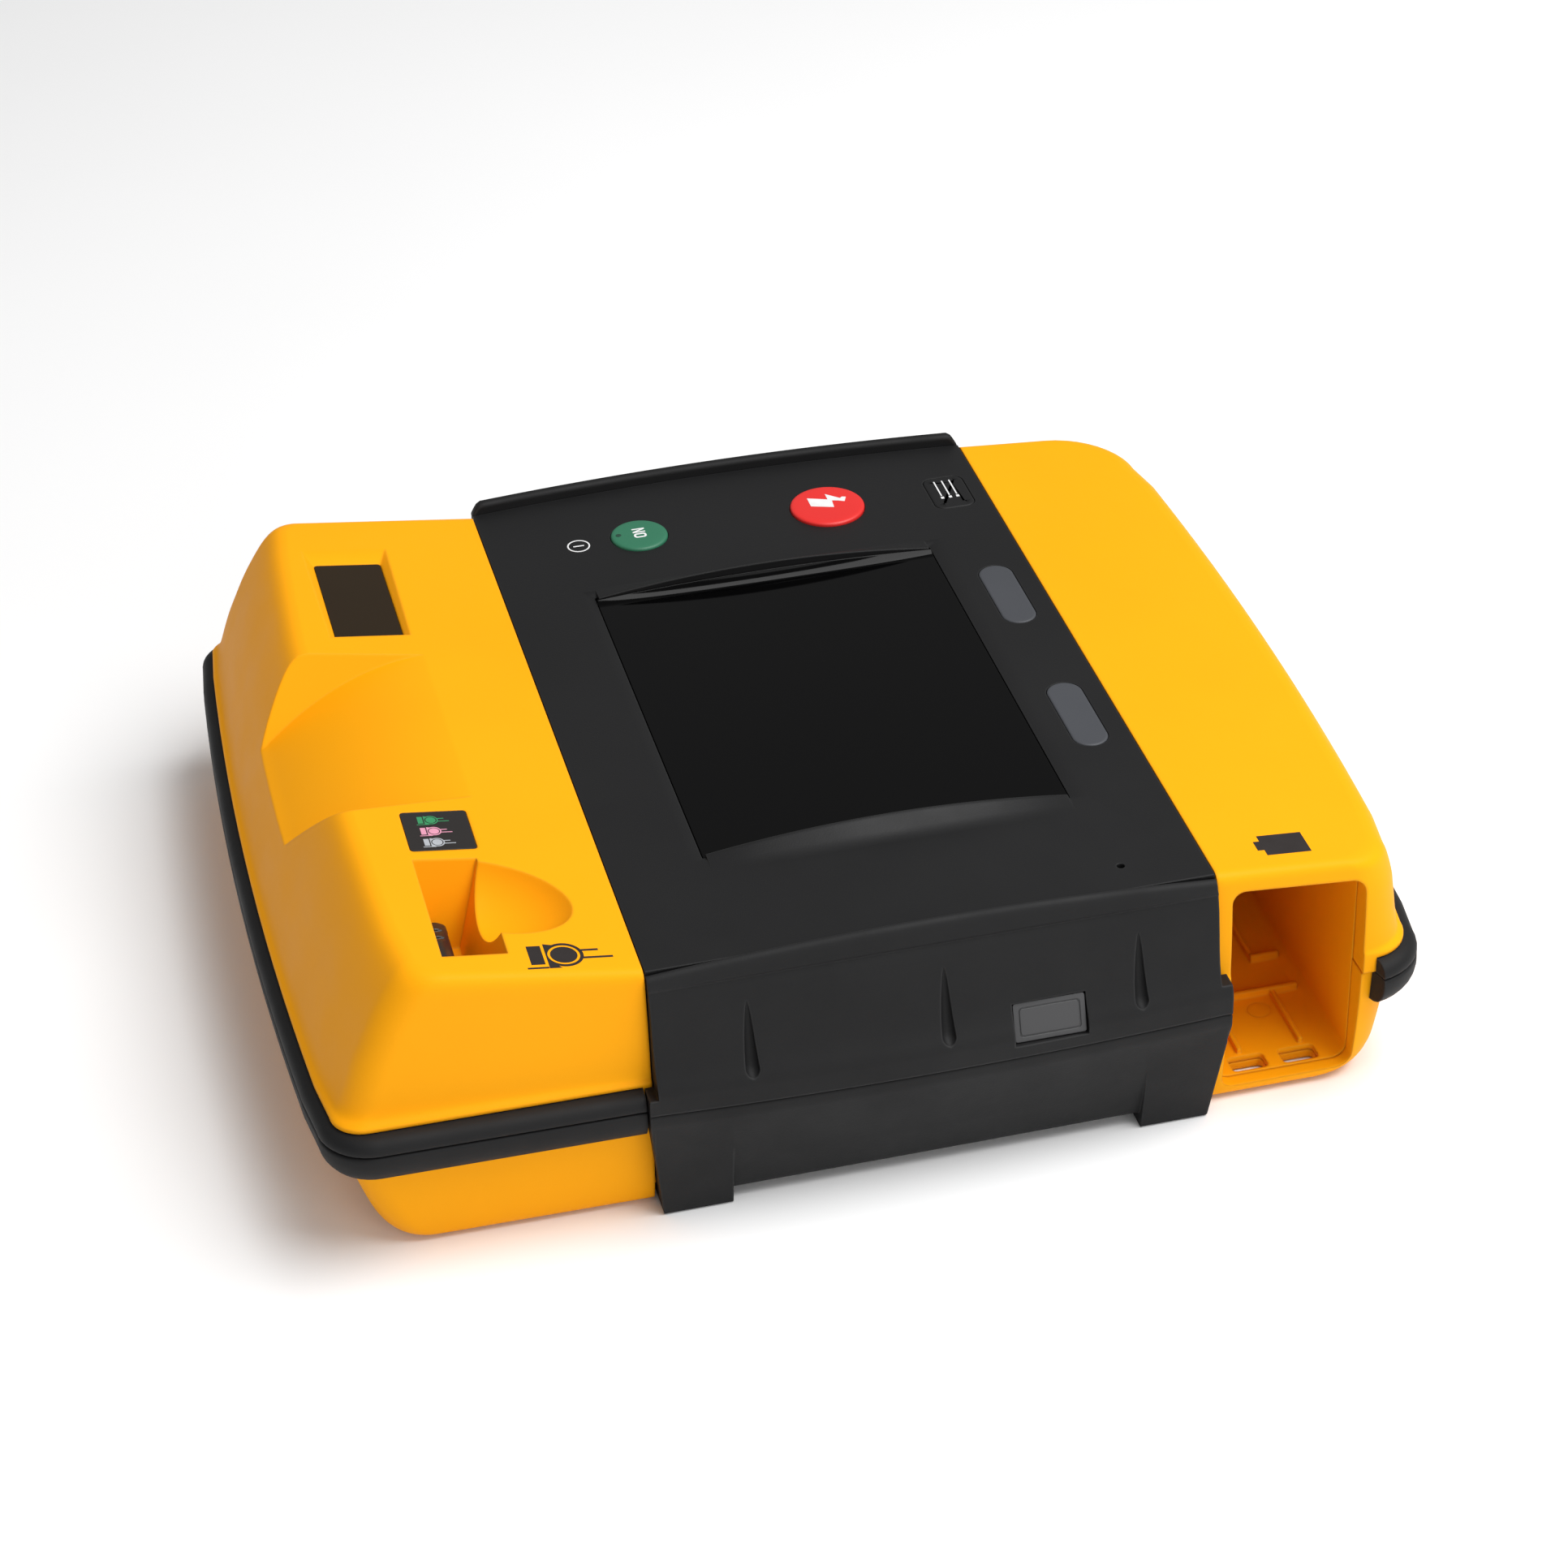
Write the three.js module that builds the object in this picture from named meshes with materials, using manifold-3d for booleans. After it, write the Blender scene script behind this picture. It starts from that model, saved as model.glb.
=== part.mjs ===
// Portable defibrillator with a sealed yellow case, a black control panel and an empty battery bay.
// Millimetres. +X runs towards the battery end, +Y away from the side with the data window,
// +Z up out of the screen. The origin is under the middle of the case, where it rests.
import * as THREE from 'three';
import { mergeVertices } from 'three/addons/utils/BufferGeometryUtils.js';
import Module from 'manifold-3d';

const wasm = await Module();
wasm.setup();

// ---------------------------------------------------------------- driving dimensions
const GAP = 0.3;                  // clearance between neighbouring pieces
const PANEL_Z = 68.6;             // flat top of the control panel
const PANEL_LEFT = -56.85;        // seam to the display block
const PANEL_RIGHT = 79;           // seam to the battery block
const PANEL_MID = (PANEL_LEFT + PANEL_RIGHT) / 2;
const PANEL_HALF = (PANEL_RIGHT - PANEL_LEFT) / 2;
const PANEL_NEAR = -105.6;
const PANEL_FAR = 106;
const PANEL_FAR_BOW = 3.8;        // the far edge of the panel bows out at its middle
const PANEL_THICK = 3;
const DECK_Z = PANEL_Z - PANEL_THICK - GAP;
const LEFT_RISE = 0.14;           // slope of the display block's top, rising away from the panel
const RIGHT_FALL = 0.08;          // slope of the battery block's top, falling away from the panel
const CROWN_Z = 76.2;             // highest level of the display block
const LEVEL_SPLIT = 56;           // above this height the levels follow the sloped top
const SIDE_BOW = 4.5;             // how far the two ends draw in at their corners
const HALF_DEPTH = 107;
const SPLIT_Z = 34;               // parting plane between the two case halves
const SPLIT_HALF = 0.5;
const WALL = 6.2;
const FLOOR_Z = 3.4;
const SLEEVE = 3.6;               // depth of the black grips let into the case sides
const NEAR_LEFT_CORNER = 8;
const FAR_LEFT_CORNER = 5;
const NEAR_RIGHT_CORNER = 11;
const FAR_RIGHT_CORNER = 18;
const ARC_STEPS = 4;
const BOW_STEPS = 6;

// ---------------------------------------------------------------- solids and booleans
function toSolid(geometry) {
  const bare = geometry.clone();
  bare.deleteAttribute('normal');
  bare.deleteAttribute('uv');
  const merged = mergeVertices(bare, 1e-4);
  const count = merged.attributes.position.count;
  const index = merged.index ?? { array: [...Array(count).keys()] };
  return new wasm.Manifold(new wasm.Mesh({
    numProp: 3,
    vertProperties: new Float32Array(merged.attributes.position.array),
    triVerts: new Uint32Array(index.array),
  }));
}

function toGeometry(solid) {
  const mesh = solid.getMesh();
  const geometry = new THREE.BufferGeometry();
  geometry.setAttribute('position', new THREE.BufferAttribute(mesh.vertProperties, 3));
  geometry.setIndex(new THREE.BufferAttribute(mesh.triVerts, 1));
  return geometry;
}

function join(...solids) {
  return solids.reduce((whole, solid) => whole.add(solid));
}

function cut(solid, ...cutters) {
  return cutters.reduce((rest, cutter) => rest.subtract(cutter), solid);
}

function box(x0, x1, y0, y1, z0, z1) {
  const geometry = new THREE.BoxGeometry(x1 - x0, y1 - y0, z1 - z0);
  geometry.translate((x0 + x1) / 2, (y0 + y1) / 2, (z0 + z1) / 2);
  return toSolid(geometry);
}

// A cylinder along one axis, from a to b on that axis; u and v are the other two coordinates in order.
function rod(axis, u, v, radius, a, b, segments = 24) {
  const geometry = new THREE.CylinderGeometry(radius, radius, b - a, segments);
  const mid = (a + b) / 2;
  if (axis === 'x') {
    geometry.rotateZ(Math.PI / 2);
    geometry.translate(mid, u, v);
  } else if (axis === 'y') {
    geometry.translate(u, mid, v);
  } else {
    geometry.rotateX(Math.PI / 2);
    geometry.translate(u, v, mid);
  }
  return toSolid(geometry);
}

// A flat outline of [a, b] pairs pushed along one axis.
function prism(axis, outline, from, to) {
  const shape = new THREE.Shape(outline.map(([a, b]) => new THREE.Vector2(a, b)));
  const geometry = new THREE.ExtrudeGeometry(shape, { depth: to - from, bevelEnabled: false });
  geometry.translate(0, 0, from);
  const turn = new THREE.Matrix4();
  if (axis === 'x') turn.set(0, 0, 1, 0, 1, 0, 0, 0, 0, 1, 0, 0, 0, 0, 0, 1);
  if (axis === 'y') turn.set(1, 0, 0, 0, 0, 0, 1, 0, 0, 1, 0, 0, 0, 0, 0, 1);
  geometry.applyMatrix4(turn);
  if (turn.determinant() < 0) flipFaces(geometry);
  return toSolid(geometry);
}

function flipFaces(geometry) {
  const position = geometry.attributes.position;
  for (let i = 0; i < position.count; i += 3) {
    const a = new THREE.Vector3().fromBufferAttribute(position, i);
    const b = new THREE.Vector3().fromBufferAttribute(position, i + 1);
    position.setXYZ(i, b.x, b.y, b.z);
    position.setXYZ(i + 1, a.x, a.y, a.z);
  }
}

function roundedRect(x0, x1, y0, y1, radius, steps = 4) {
  const points = [];
  const centres = [
    [x1 - radius, y0 + radius, -90],
    [x1 - radius, y1 - radius, 0],
    [x0 + radius, y1 - radius, 90],
    [x0 + radius, y0 + radius, 180],
  ];
  for (const [cx, cy, start] of centres) {
    for (let i = 0; i <= steps; i += 1) {
      const angle = THREE.MathUtils.degToRad(start + (90 * i) / steps);
      points.push([cx + radius * Math.cos(angle), cy + radius * Math.sin(angle)]);
    }
  }
  return points;
}

// A body through a stack of rings with equal point counts, closed by a cap on each end ring.
// Each cap is split into the bands between the given x values, so that each band stays flat.
function loft(rings, capSplits = []) {
  const count = rings[0].length;
  const positions = rings.flat(2);
  const index = [];
  for (let ring = 0; ring + 1 < rings.length; ring += 1) {
    for (let i = 0; i < count; i += 1) {
      const j = (i + 1) % count;
      const low = ring * count;
      const high = low + count;
      index.push(low + i, low + j, high + j, low + i, high + j, high + i);
    }
  }
  addCap(index, rings[0], 0, capSplits, true);
  addCap(index, rings.at(-1), (rings.length - 1) * count, capSplits, false);
  const geometry = new THREE.BufferGeometry();
  geometry.setAttribute('position', new THREE.Float32BufferAttribute(positions, 3));
  geometry.setIndex(index);
  return toSolid(geometry);
}

function addCap(index, ring, offset, splits, down) {
  const edges = [-Infinity, ...splits, Infinity];
  for (let band = 0; band + 1 < edges.length; band += 1) {
    const members = ring
      .map((point, i) => i)
      .filter((i) => ring[i][0] >= edges[band] - 1e-6 && ring[i][0] <= edges[band + 1] + 1e-6);
    const outline = members.map((i) => new THREE.Vector2(ring[i][0], ring[i][1]));
    for (const [a, b, c] of THREE.ShapeUtils.triangulateShape(outline, [])) {
      const corners = [members[a], members[b], members[c]].map((i) => i + offset);
      index.push(...(down ? corners.reverse() : corners));
    }
  }
}

// A section of [outward, z] pairs swept along an open path of { x, y, nx, ny } stations.
function sweep(path, section) {
  const count = section.length;
  const positions = [];
  for (const { x, y, nx, ny } of path) {
    for (const [out, z] of section) {
      positions.push(x + nx * out, y + ny * out, z);
    }
  }
  const index = [];
  for (let s = 0; s + 1 < path.length; s += 1) {
    for (let i = 0; i < count; i += 1) {
      const j = (i + 1) % count;
      const a = s * count;
      const b = a + count;
      index.push(a + i, b + i, b + j, a + i, b + j, a + j);
    }
  }
  const outline = section.map(([out, z]) => new THREE.Vector2(out, z));
  const last = (path.length - 1) * count;
  for (const [a, b, c] of THREE.ShapeUtils.triangulateShape(outline, [])) {
    index.push(a, b, c, last + c, last + b, last + a);
  }
  const geometry = new THREE.BufferGeometry();
  geometry.setAttribute('position', new THREE.Float32BufferAttribute(positions, 3));
  geometry.setIndex(index);
  return outward(toSolid(geometry), geometry);
}

function outward(solid, geometry) {
  if (solid.volume() > 0) return solid;
  const flipped = geometry.clone();
  flipped.setIndex([...geometry.index.array].reverse());
  return toSolid(flipped);
}

// A body through sections of [y, z] pairs, one for each station along X.
function ribbon(stations, sectionAt) {
  const sections = stations.map((x) => sectionAt(x).map(([y, z]) => [x, y, z]));
  const clockwise = THREE.ShapeUtils.isClockWise(sections[0].map(([, y, z]) => ({ x: y, y: z })));
  if (clockwise) sections.forEach((section) => section.reverse());
  const count = sections[0].length;
  const index = [];
  for (let s = 0; s + 1 < sections.length; s += 1) {
    for (let i = 0; i < count; i += 1) {
      const j = (i + 1) % count;
      const a = s * count;
      const b = a + count;
      index.push(a + i, b + i, b + j, a + i, b + j, a + j);
    }
  }
  const outline = sections[0].map(([, y, z]) => new THREE.Vector2(y, z));
  const last = (sections.length - 1) * count;
  for (const [a, b, c] of THREE.ShapeUtils.triangulateShape(outline, [])) {
    index.push(a, b, c, last + c, last + b, last + a);
  }
  const geometry = new THREE.BufferGeometry();
  geometry.setAttribute('position', new THREE.Float32BufferAttribute(sections.flat(2), 3));
  geometry.setIndex(index);
  return outward(toSolid(geometry), geometry);
}

// ---------------------------------------------------------------- the scene graph
const device = new THREE.Group();
const LOOKS = {
  yellow: { color: '#f7a60d', roughness: 0.48, metalness: 0 },
  panelBlack: { color: '#232324', roughness: 0.55, metalness: 0 },
  rubberBlack: { color: '#1d1d1e', roughness: 0.72, metalness: 0 },
  glassBlack: { color: '#050506', roughness: 0.08, metalness: 0 },
  windowSmoke: { color: '#2b2115', roughness: 0.1, metalness: 0 },
  windowGrey: { color: '#4a4a4c', roughness: 0.45, metalness: 0 },
  keyGrey: { color: '#4b4e55', roughness: 0.6, metalness: 0 },
  green: { color: '#1f6f4a', roughness: 0.5, metalness: 0 },
  red: { color: '#d41f22', roughness: 0.5, metalness: 0 },
  board: { color: '#1d5a37', roughness: 0.55, metalness: 0 },
  steel: { color: '#8c8f93', roughness: 0.35, metalness: 1 },
  brass: { color: '#c39a4a', roughness: 0.35, metalness: 1 },
  copper: { color: '#a6623a', roughness: 0.4, metalness: 1 },
  capBlue: { color: '#27406b', roughness: 0.4, metalness: 0 },
  white: { color: '#d9d8d2', roughness: 0.6, metalness: 0 },
};

function add(name, look, solid) {
  const material = new THREE.MeshStandardMaterial(LOOKS[look]);
  const mesh = new THREE.Mesh(toGeometry(solid), material);
  mesh.name = name;
  device.add(mesh);
}

// ---------------------------------------------------------------- outline of the case
function topHeight(x) {
  if (x < PANEL_LEFT) return PANEL_Z + LEFT_RISE * (PANEL_LEFT - x);
  if (x > PANEL_RIGHT) return PANEL_Z - RIGHT_FALL * (x - PANEL_RIGHT);
  return PANEL_Z;
}

function bow(y) {
  return SIDE_BOW * (y / HALF_DEPTH) ** 2;
}

function arc(cx, cy, radius, start) {
  return Array.from({ length: ARC_STEPS + 1 }, (_, i) => {
    const angle = THREE.MathUtils.degToRad(start + (90 * i) / ARC_STEPS);
    return [cx + radius * Math.cos(angle), cy + radius * Math.sin(angle)];
  });
}

// The plan of the case at one level, counter-clockwise from its near left corner.
// setback pulls the near left corner in, so that the near side runs at a slight slant.
function plan({ left, right, half, shrink = 0, setback = 0 }) {
  const nearLeft = Math.max(NEAR_LEFT_CORNER - shrink, 4);
  const farLeft = Math.max(FAR_LEFT_CORNER - shrink, 4);
  const nearRight = Math.max(NEAR_RIGHT_CORNER - shrink, 4);
  const farRight = Math.max(FAR_RIGHT_CORNER - shrink, 4);
  const nearEnd = -half + setback;
  const leftEnd = left + bow(half);
  const rightEnd = right - bow(half);
  const side = (x, sign, fromY, toY) => Array.from({ length: BOW_STEPS }, (_, i) => {
    const y = fromY + ((toY - fromY) * (i + 1)) / (BOW_STEPS + 1);
    return [x + sign * bow(y), y];
  });
  return [
    ...arc(leftEnd + nearLeft, nearEnd + nearLeft, nearLeft, 180),
    [PANEL_LEFT, -half],
    [PANEL_RIGHT, -half],
    ...arc(rightEnd - nearRight, -half + nearRight, nearRight, 270),
    ...side(right, -1, -half + nearRight, half - farRight),
    ...arc(rightEnd - farRight, half - farRight, farRight, 0),
    [PANEL_RIGHT, half],
    [PANEL_LEFT, half],
    ...arc(leftEnd + farLeft, half - farLeft, farLeft, 90),
    ...side(left, 1, half - farLeft, nearEnd + nearLeft),
  ];
}

function levelZ(z, x, drop) {
  if (z <= LEVEL_SPLIT) return z;
  const share = (z - LEVEL_SPLIT) / (CROWN_Z - LEVEL_SPLIT);
  return LEVEL_SPLIT + share * (topHeight(x) - drop - LEVEL_SPLIT);
}

function shell(levels, { inset = 0, drop = 0 } = {}) {
  const rings = levels.map(([z, left, right, half, setback = 0]) => plan({
    left: left + inset,
    right: right - inset,
    half: half - inset,
    shrink: inset,
    setback,
  }).map(([x, y]) => [x, y, levelZ(z, x, drop)]));
  return loft(rings, [PANEL_LEFT, PANEL_RIGHT]);
}

// Levels as [z, left end, right end, half depth, setback of the near left corner].
const UPPER_LEVELS = [
  [SPLIT_Z + SPLIT_HALF, -135.2, 134.6, 109.0, 0.8],
  [39.4, -135.2, 134.6, 109.0, 0.8],
  [40.4, -133.7, 133.1, 108.4, 2.2],
  [46, -131.4, 132.2, 108.2, 2.6],
  [51, -129.6, 131.6, 108.0, 2.6],
  [LEVEL_SPLIT, -127.4, 131.0, 107.7, 2.6],
  [62, -124.4, 130.4, 107.4, 2.6],
  [68, -120.9, 129.6, 107.0, 2.6],
  [72, -118.2, 128.8, 106.7, 2.6],
  [74.4, -116.0, 127.6, 106.2, 2.6],
  [75.7, -113.9, 126.2, 105.3, 2.6],
  [CROWN_Z, -111.6, 124.4, 103.9, 2.6],
];
const LOWER_LEVELS = [
  [0.4, -114.0, 115.0, 101.0, 0.8],
  [0.9, -118.4, 120.0, 103.4, 0.8],
  [2, -121.9, 124.0, 104.8, 0.8],
  [4, -124.2, 126.8, 105.5, 0.8],
  [8, -126.6, 128.8, 106.2, 0.8],
  [14, -128.8, 129.9, 106.9, 0.8],
  [24, -131.6, 131.0, 107.8, 0.8],
  [SPLIT_Z - SPLIT_HALF, -132.6, 131.6, 108.2, 0.8],
];
const CORE_HALF = HALF_DEPTH + 1 - SLEEVE;
const UPPER_CORE = UPPER_LEVELS.map(([z, left, right, half]) => [
  z, left - 5, right + 5, Math.min(half - SLEEVE, CORE_HALF),
]);
const LOWER_CORE = [
  [PANEL_THICK + 0.7, -130, 130, 101.5],
  [5.2, -130, 130, 103.6],
  [8, -130, 130, CORE_HALF],
  [SPLIT_Z + SPLIT_HALF, -130, 130, CORE_HALF],
];
const CAVITY_UPPER = [
  [SPLIT_Z - 1, -133.9, 133.2, 108.4],
  [46, -131.4, 132.2, 108.2],
  [LEVEL_SPLIT, -127.4, 131.0, 107.7],
  [68, -120.4, 129.4, 106.8],
  [CROWN_Z, -113, 125, 104.6],
];
const CAVITY_LOWER = [
  [FLOOR_Z, -118, 120, 103.4],
  [8, -126.0, 128.0, 105.6],
  [24, -131.0, 130.6, 107.4],
  [SPLIT_Z + 1, -132.6, 131.6, 108.2],
];

// ---------------------------------------------------------------- bumper path round each end
const BUMPER_BASE = { left: -133.4, right: 133.4, half: 108.2, setback: 0.8 };
const BUMPER_OUT = 5.1;
const BUMPER_TOP = 38.2;
const BUMPER_BOTTOM = 25.2;
const LIP_LEFT = -59;
const LIP_RIGHT = 81.6;

function withNormals(points) {
  return points.map(([x, y], i) => {
    const [ax, ay] = points[Math.max(i - 1, 0)];
    const [bx, by] = points[Math.min(i + 1, points.length - 1)];
    const length = Math.hypot(bx - ax, by - ay);
    return { x, y, nx: (by - ay) / length, ny: -(bx - ax) / length };
  });
}

const baseRing = plan(BUMPER_BASE);

function bumperPath(end, startX, endX) {
  const half = BUMPER_BASE.half;
  const ring = baseRing.filter(([x]) => (end === 'left' ? x < -100 : x > 100));
  const angle = ([x, y]) => Math.atan2(y, Math.abs(x));
  const byAngle = [...ring].sort((p, q) => angle(p) - angle(q));
  if (end === 'right') {
    const turned = byAngle.filter(([x, y]) => y > -60 || x > startX);
    return withNormals([...turned, [endX, half]]);
  }
  byAngle.reverse();
  return withNormals([[startX, half], ...byAngle, [endX, -half]]);
}

const BUMPER_PATHS = {
  left: bumperPath('left', LIP_LEFT - GAP, LIP_LEFT - GAP),
  right: bumperPath('right', 119, LIP_RIGHT + GAP),
};
const SEAT_SECTION = [
  [-2.4, BUMPER_BOTTOM - 0.2],
  [9, BUMPER_BOTTOM - 0.2],
  [9, BUMPER_TOP + 0.2],
  [-2.4, BUMPER_TOP + 0.2],
];
const BUMPER_UPPER = [
  [-2.1, SPLIT_Z + 0.15],
  [BUMPER_OUT, SPLIT_Z + 0.15],
  [BUMPER_OUT - 0.5, BUMPER_TOP - 2],
  [BUMPER_OUT - 1.9, BUMPER_TOP - 0.8],
  [1.4, BUMPER_TOP - 0.1],
  [-2.1, BUMPER_TOP],
];
const BUMPER_LOWER = [
  [-2.1, BUMPER_BOTTOM],
  [0.6, BUMPER_BOTTOM],
  [2.9, BUMPER_BOTTOM + 1.1],
  [4.5, BUMPER_BOTTOM + 3.5],
  [BUMPER_OUT, 31],
  [BUMPER_OUT - 0.1, SPLIT_Z - 0.15],
  [-2.1, SPLIT_Z - 0.15],
];
const seats = Object.values(BUMPER_PATHS).map((path) => sweep(path, SEAT_SECTION));

// ---------------------------------------------------------------- battery bay
const BAY = { x0: 83.1, x1: 116.5, z0: 4.2, z1: 63.4, y0: -107.6, y1: 40 };
const BAY_WALL = 1.5;
const BAY_SLOTS = [88.2, 101.2];
const SLOT = { width: 9.2, y0: -100.6, y1: -95.2 };

function bayOutline(grow) {
  const radius = 3.5 + grow;
  const outline = roundedRect(BAY.x0 - grow, BAY.x1 + grow, BAY.z0 - grow, BAY.z1 + grow, radius, 4);
  const mid = (BAY.z0 + BAY.z1) / 2;
  return outline.map(([x, z]) => [x, z > mid ? z - RIGHT_FALL * (x - BAY.x0) : z]);
}

const bayHole = prism('y', bayOutline(BAY_WALL + GAP), -130, BAY.y1 + BAY_WALL + GAP);
const slotCutters = BAY_SLOTS.map((x) => (
  prism('z', roundedRect(x, x + SLOT.width, SLOT.y0, SLOT.y1, 1.2, 3), -2, BAY.z0 + 3)
));

// ---------------------------------------------------------------- display block details
const SADDLE = {
  wallFar: 37.8,
  wallNear: -34.3,
  floorFar: 28,
  floorNear: -19.4,
  floorZ: 60,
  startX: -82,
  edgeX: -125,
  drop: 14.2,
};

// The saddle between the two raised blocks: a curved floor with two sloped side walls.
function saddleCutter(sink) {
  const steps = 10;
  const startZ = topHeight(SADDLE.startX) - sink;
  const floor = Array.from({ length: steps + 1 }, (_, i) => {
    const share = i / steps;
    return [SADDLE.startX + (SADDLE.edgeX - SADDLE.startX) * share, startZ - SADDLE.drop * share ** 2];
  });
  const lip = SADDLE.edgeX - 16;
  const profile = [[SADDLE.startX, 84], ...floor, [lip, startZ - SADDLE.drop * 1.6], [lip, 84]];
  const slope = (CROWN_Z - SADDLE.floorZ);
  const farSlant = (SADDLE.wallFar - SADDLE.floorFar) / slope;
  const nearSlant = (SADDLE.floorNear - SADDLE.wallNear) / slope;
  const wedge = prism('x', [
    [SADDLE.floorNear - sink + nearSlant * 10, SADDLE.floorZ - 10],
    [SADDLE.floorFar + sink - farSlant * 10, SADDLE.floorZ - 10],
    [SADDLE.wallFar + sink + farSlant * 9, CROWN_Z + 9],
    [SADDLE.wallNear - sink - nearSlant * 9, CROWN_Z + 9],
  ], lip - 1, PANEL_LEFT + 1);
  return prism('y', profile, -80, 80).intersect(wedge);
}

const WINDOW = { x0: -103, x1: -85.5, y0: 46.6, y1: 84.6 };
const POCKET = { x0: -101, x1: -85, y0: -95.5, y1: -56, z: 52, farFoot: -62.5, rightFoot: -92.5 };
const SCOOP = { x: -86, y: -72.8, z: 80, rx: 22.4, ry: 16.2, rz: 17, slant: -0.28 };
const LABEL = { x0: -100.7, x1: -85.1, y0: -52.8, y1: -36.6, thick: 0.5 };
const SOCKET = { x0: -108, x1: -95.6, y0: -93.6, y1: -65.4, z0: 52.6, z1: 62.6 };

function pocketSolid(grow) {
  const side = [
    [POCKET.y0 - grow, POCKET.z - grow],
    [POCKET.farFoot + grow, POCKET.z - grow],
    [POCKET.y1 + grow, 76],
    [POCKET.y1 + grow, 90],
    [POCKET.y0 - grow, 90],
  ];
  const end = [
    [POCKET.x0 - grow, POCKET.z - grow],
    [POCKET.rightFoot + grow, POCKET.z - grow],
    [POCKET.x1 + grow, 76],
    [POCKET.x1 + grow, 90],
    [POCKET.x0 - grow, 90],
  ];
  return prism('x', side, -130, -60).intersect(prism('y', end, -120, -40));
}

function scoopSolid(grow) {
  const geometry = grow > 0 ? new THREE.SphereGeometry(1, 16, 8) : new THREE.SphereGeometry(1, 28, 16);
  geometry.rotateX(Math.PI / 2);
  geometry.scale(SCOOP.rx + grow, SCOOP.ry + grow, SCOOP.rz + grow);
  geometry.applyMatrix4(new THREE.Matrix4().makeShear(SCOOP.slant, 0, 0, 0, 0, 0));
  geometry.translate(SCOOP.x, SCOOP.y, SCOOP.z);
  const right = box(SCOOP.x - 4 - grow, 0, -140, 0, 0, 120);
  return toSolid(geometry).intersect(right);
}

// A plate of given thickness on the sloped top of the display block.
function slopedPlate(outline, low, high) {
  const reach = 8;
  const slab = prism('y', [
    [-125, topHeight(-125) + low],
    [PANEL_LEFT - reach, topHeight(PANEL_LEFT - reach) + low],
    [PANEL_LEFT - reach, topHeight(PANEL_LEFT - reach) + high],
    [-125, topHeight(-125) + high],
  ], -120, 120);
  return prism('z', outline, 40, 100).intersect(slab);
}

const windowOutline = (grow) => roundedRect(
  WINDOW.x0 - grow, WINDOW.x1 + grow, WINDOW.y0 - grow, WINDOW.y1 + grow, Math.max(1 + grow, 0.4), 2,
);
const labelOutline = (grow) => roundedRect(
  LABEL.x0 - grow, LABEL.x1 + grow, LABEL.y0 - grow, LABEL.y1 + grow, 0.8 + grow, 2,
);

// ---------------------------------------------------------------- controls
const SCREEN = { x0: -33.6, x1: 56.5, y0: -64.9, y1: 54.3 };
const ON_KEY = { x: -16.1, y: 82.9, r: 7.65, top: 69.4 };
const SHOCK_KEY = { x: 35.8, y: 83.2, r: 10.05, top: 69.6 };
const MENU_KEY = { x: 69.4, y: 81.8, half: 5.5, reach: 8.2, top: 69.1 };
const SOFT_KEYS = { x: 69.2, width: 9, length: 29.1, upper: 27.1, lower: -31.9, top: 69.3 };
const KEY_FLANGE = 1.1;
const KEY_FLANGE_Z = [63.6, 65.0];
const KEY_GAP = 0.25;

const stadium = (x, y, width, length, grow) => roundedRect(
  x - width / 2 - grow, x + width / 2 + grow, y - length / 2 - grow, y + length / 2 + grow,
  width / 2 + grow - 0.01, 4,
);
const keyOutlines = {
  on_button: (grow) => circle(ON_KEY.x, ON_KEY.y, ON_KEY.r + grow, 24),
  shock_button: (grow) => circle(SHOCK_KEY.x, SHOCK_KEY.y, SHOCK_KEY.r + grow, 28),
  menu_button: (grow) => roundedRect(
    MENU_KEY.x - MENU_KEY.half - grow, MENU_KEY.x + MENU_KEY.half + grow,
    MENU_KEY.y - MENU_KEY.reach - grow, MENU_KEY.y + MENU_KEY.reach + grow, 2.6 + grow, 4,
  ),
  softkey_upper: (grow) => stadium(SOFT_KEYS.x, SOFT_KEYS.upper, SOFT_KEYS.width, SOFT_KEYS.length, grow),
  softkey_lower: (grow) => stadium(SOFT_KEYS.x, SOFT_KEYS.lower, SOFT_KEYS.width, SOFT_KEYS.length, grow),
};
const KEY_TOPS = {
  on_button: ON_KEY.top,
  shock_button: SHOCK_KEY.top,
  menu_button: MENU_KEY.top,
  softkey_upper: SOFT_KEYS.top,
  softkey_lower: SOFT_KEYS.top,
};

function circle(cx, cy, radius, segments) {
  return Array.from({ length: segments }, (_, i) => {
    const angle = (2 * Math.PI * i) / segments;
    return [cx + radius * Math.cos(angle), cy + radius * Math.sin(angle)];
  });
}

// ---------------------------------------------------------------- case halves
const SCREW_PLACES = [
  [-112, -84],
  [-112, 84],
  [-44, -84],
  [-44, 84],
  [60, -84],
  [108, 84],
];
const BOSS_R = 4.2;
const SPEAKER = { x: 40, y: 40, r: 20 };
const IRDA = { x0: 27.8, x1: 45.2, z0: 37.6, z1: 46.8 };
const MIC = { x: 59.1, y: -96.3, r: 1 };
const blackBand = (z0, z1) => box(PANEL_LEFT - GAP, PANEL_RIGHT + GAP, -140, 140, z0, z1);

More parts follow.
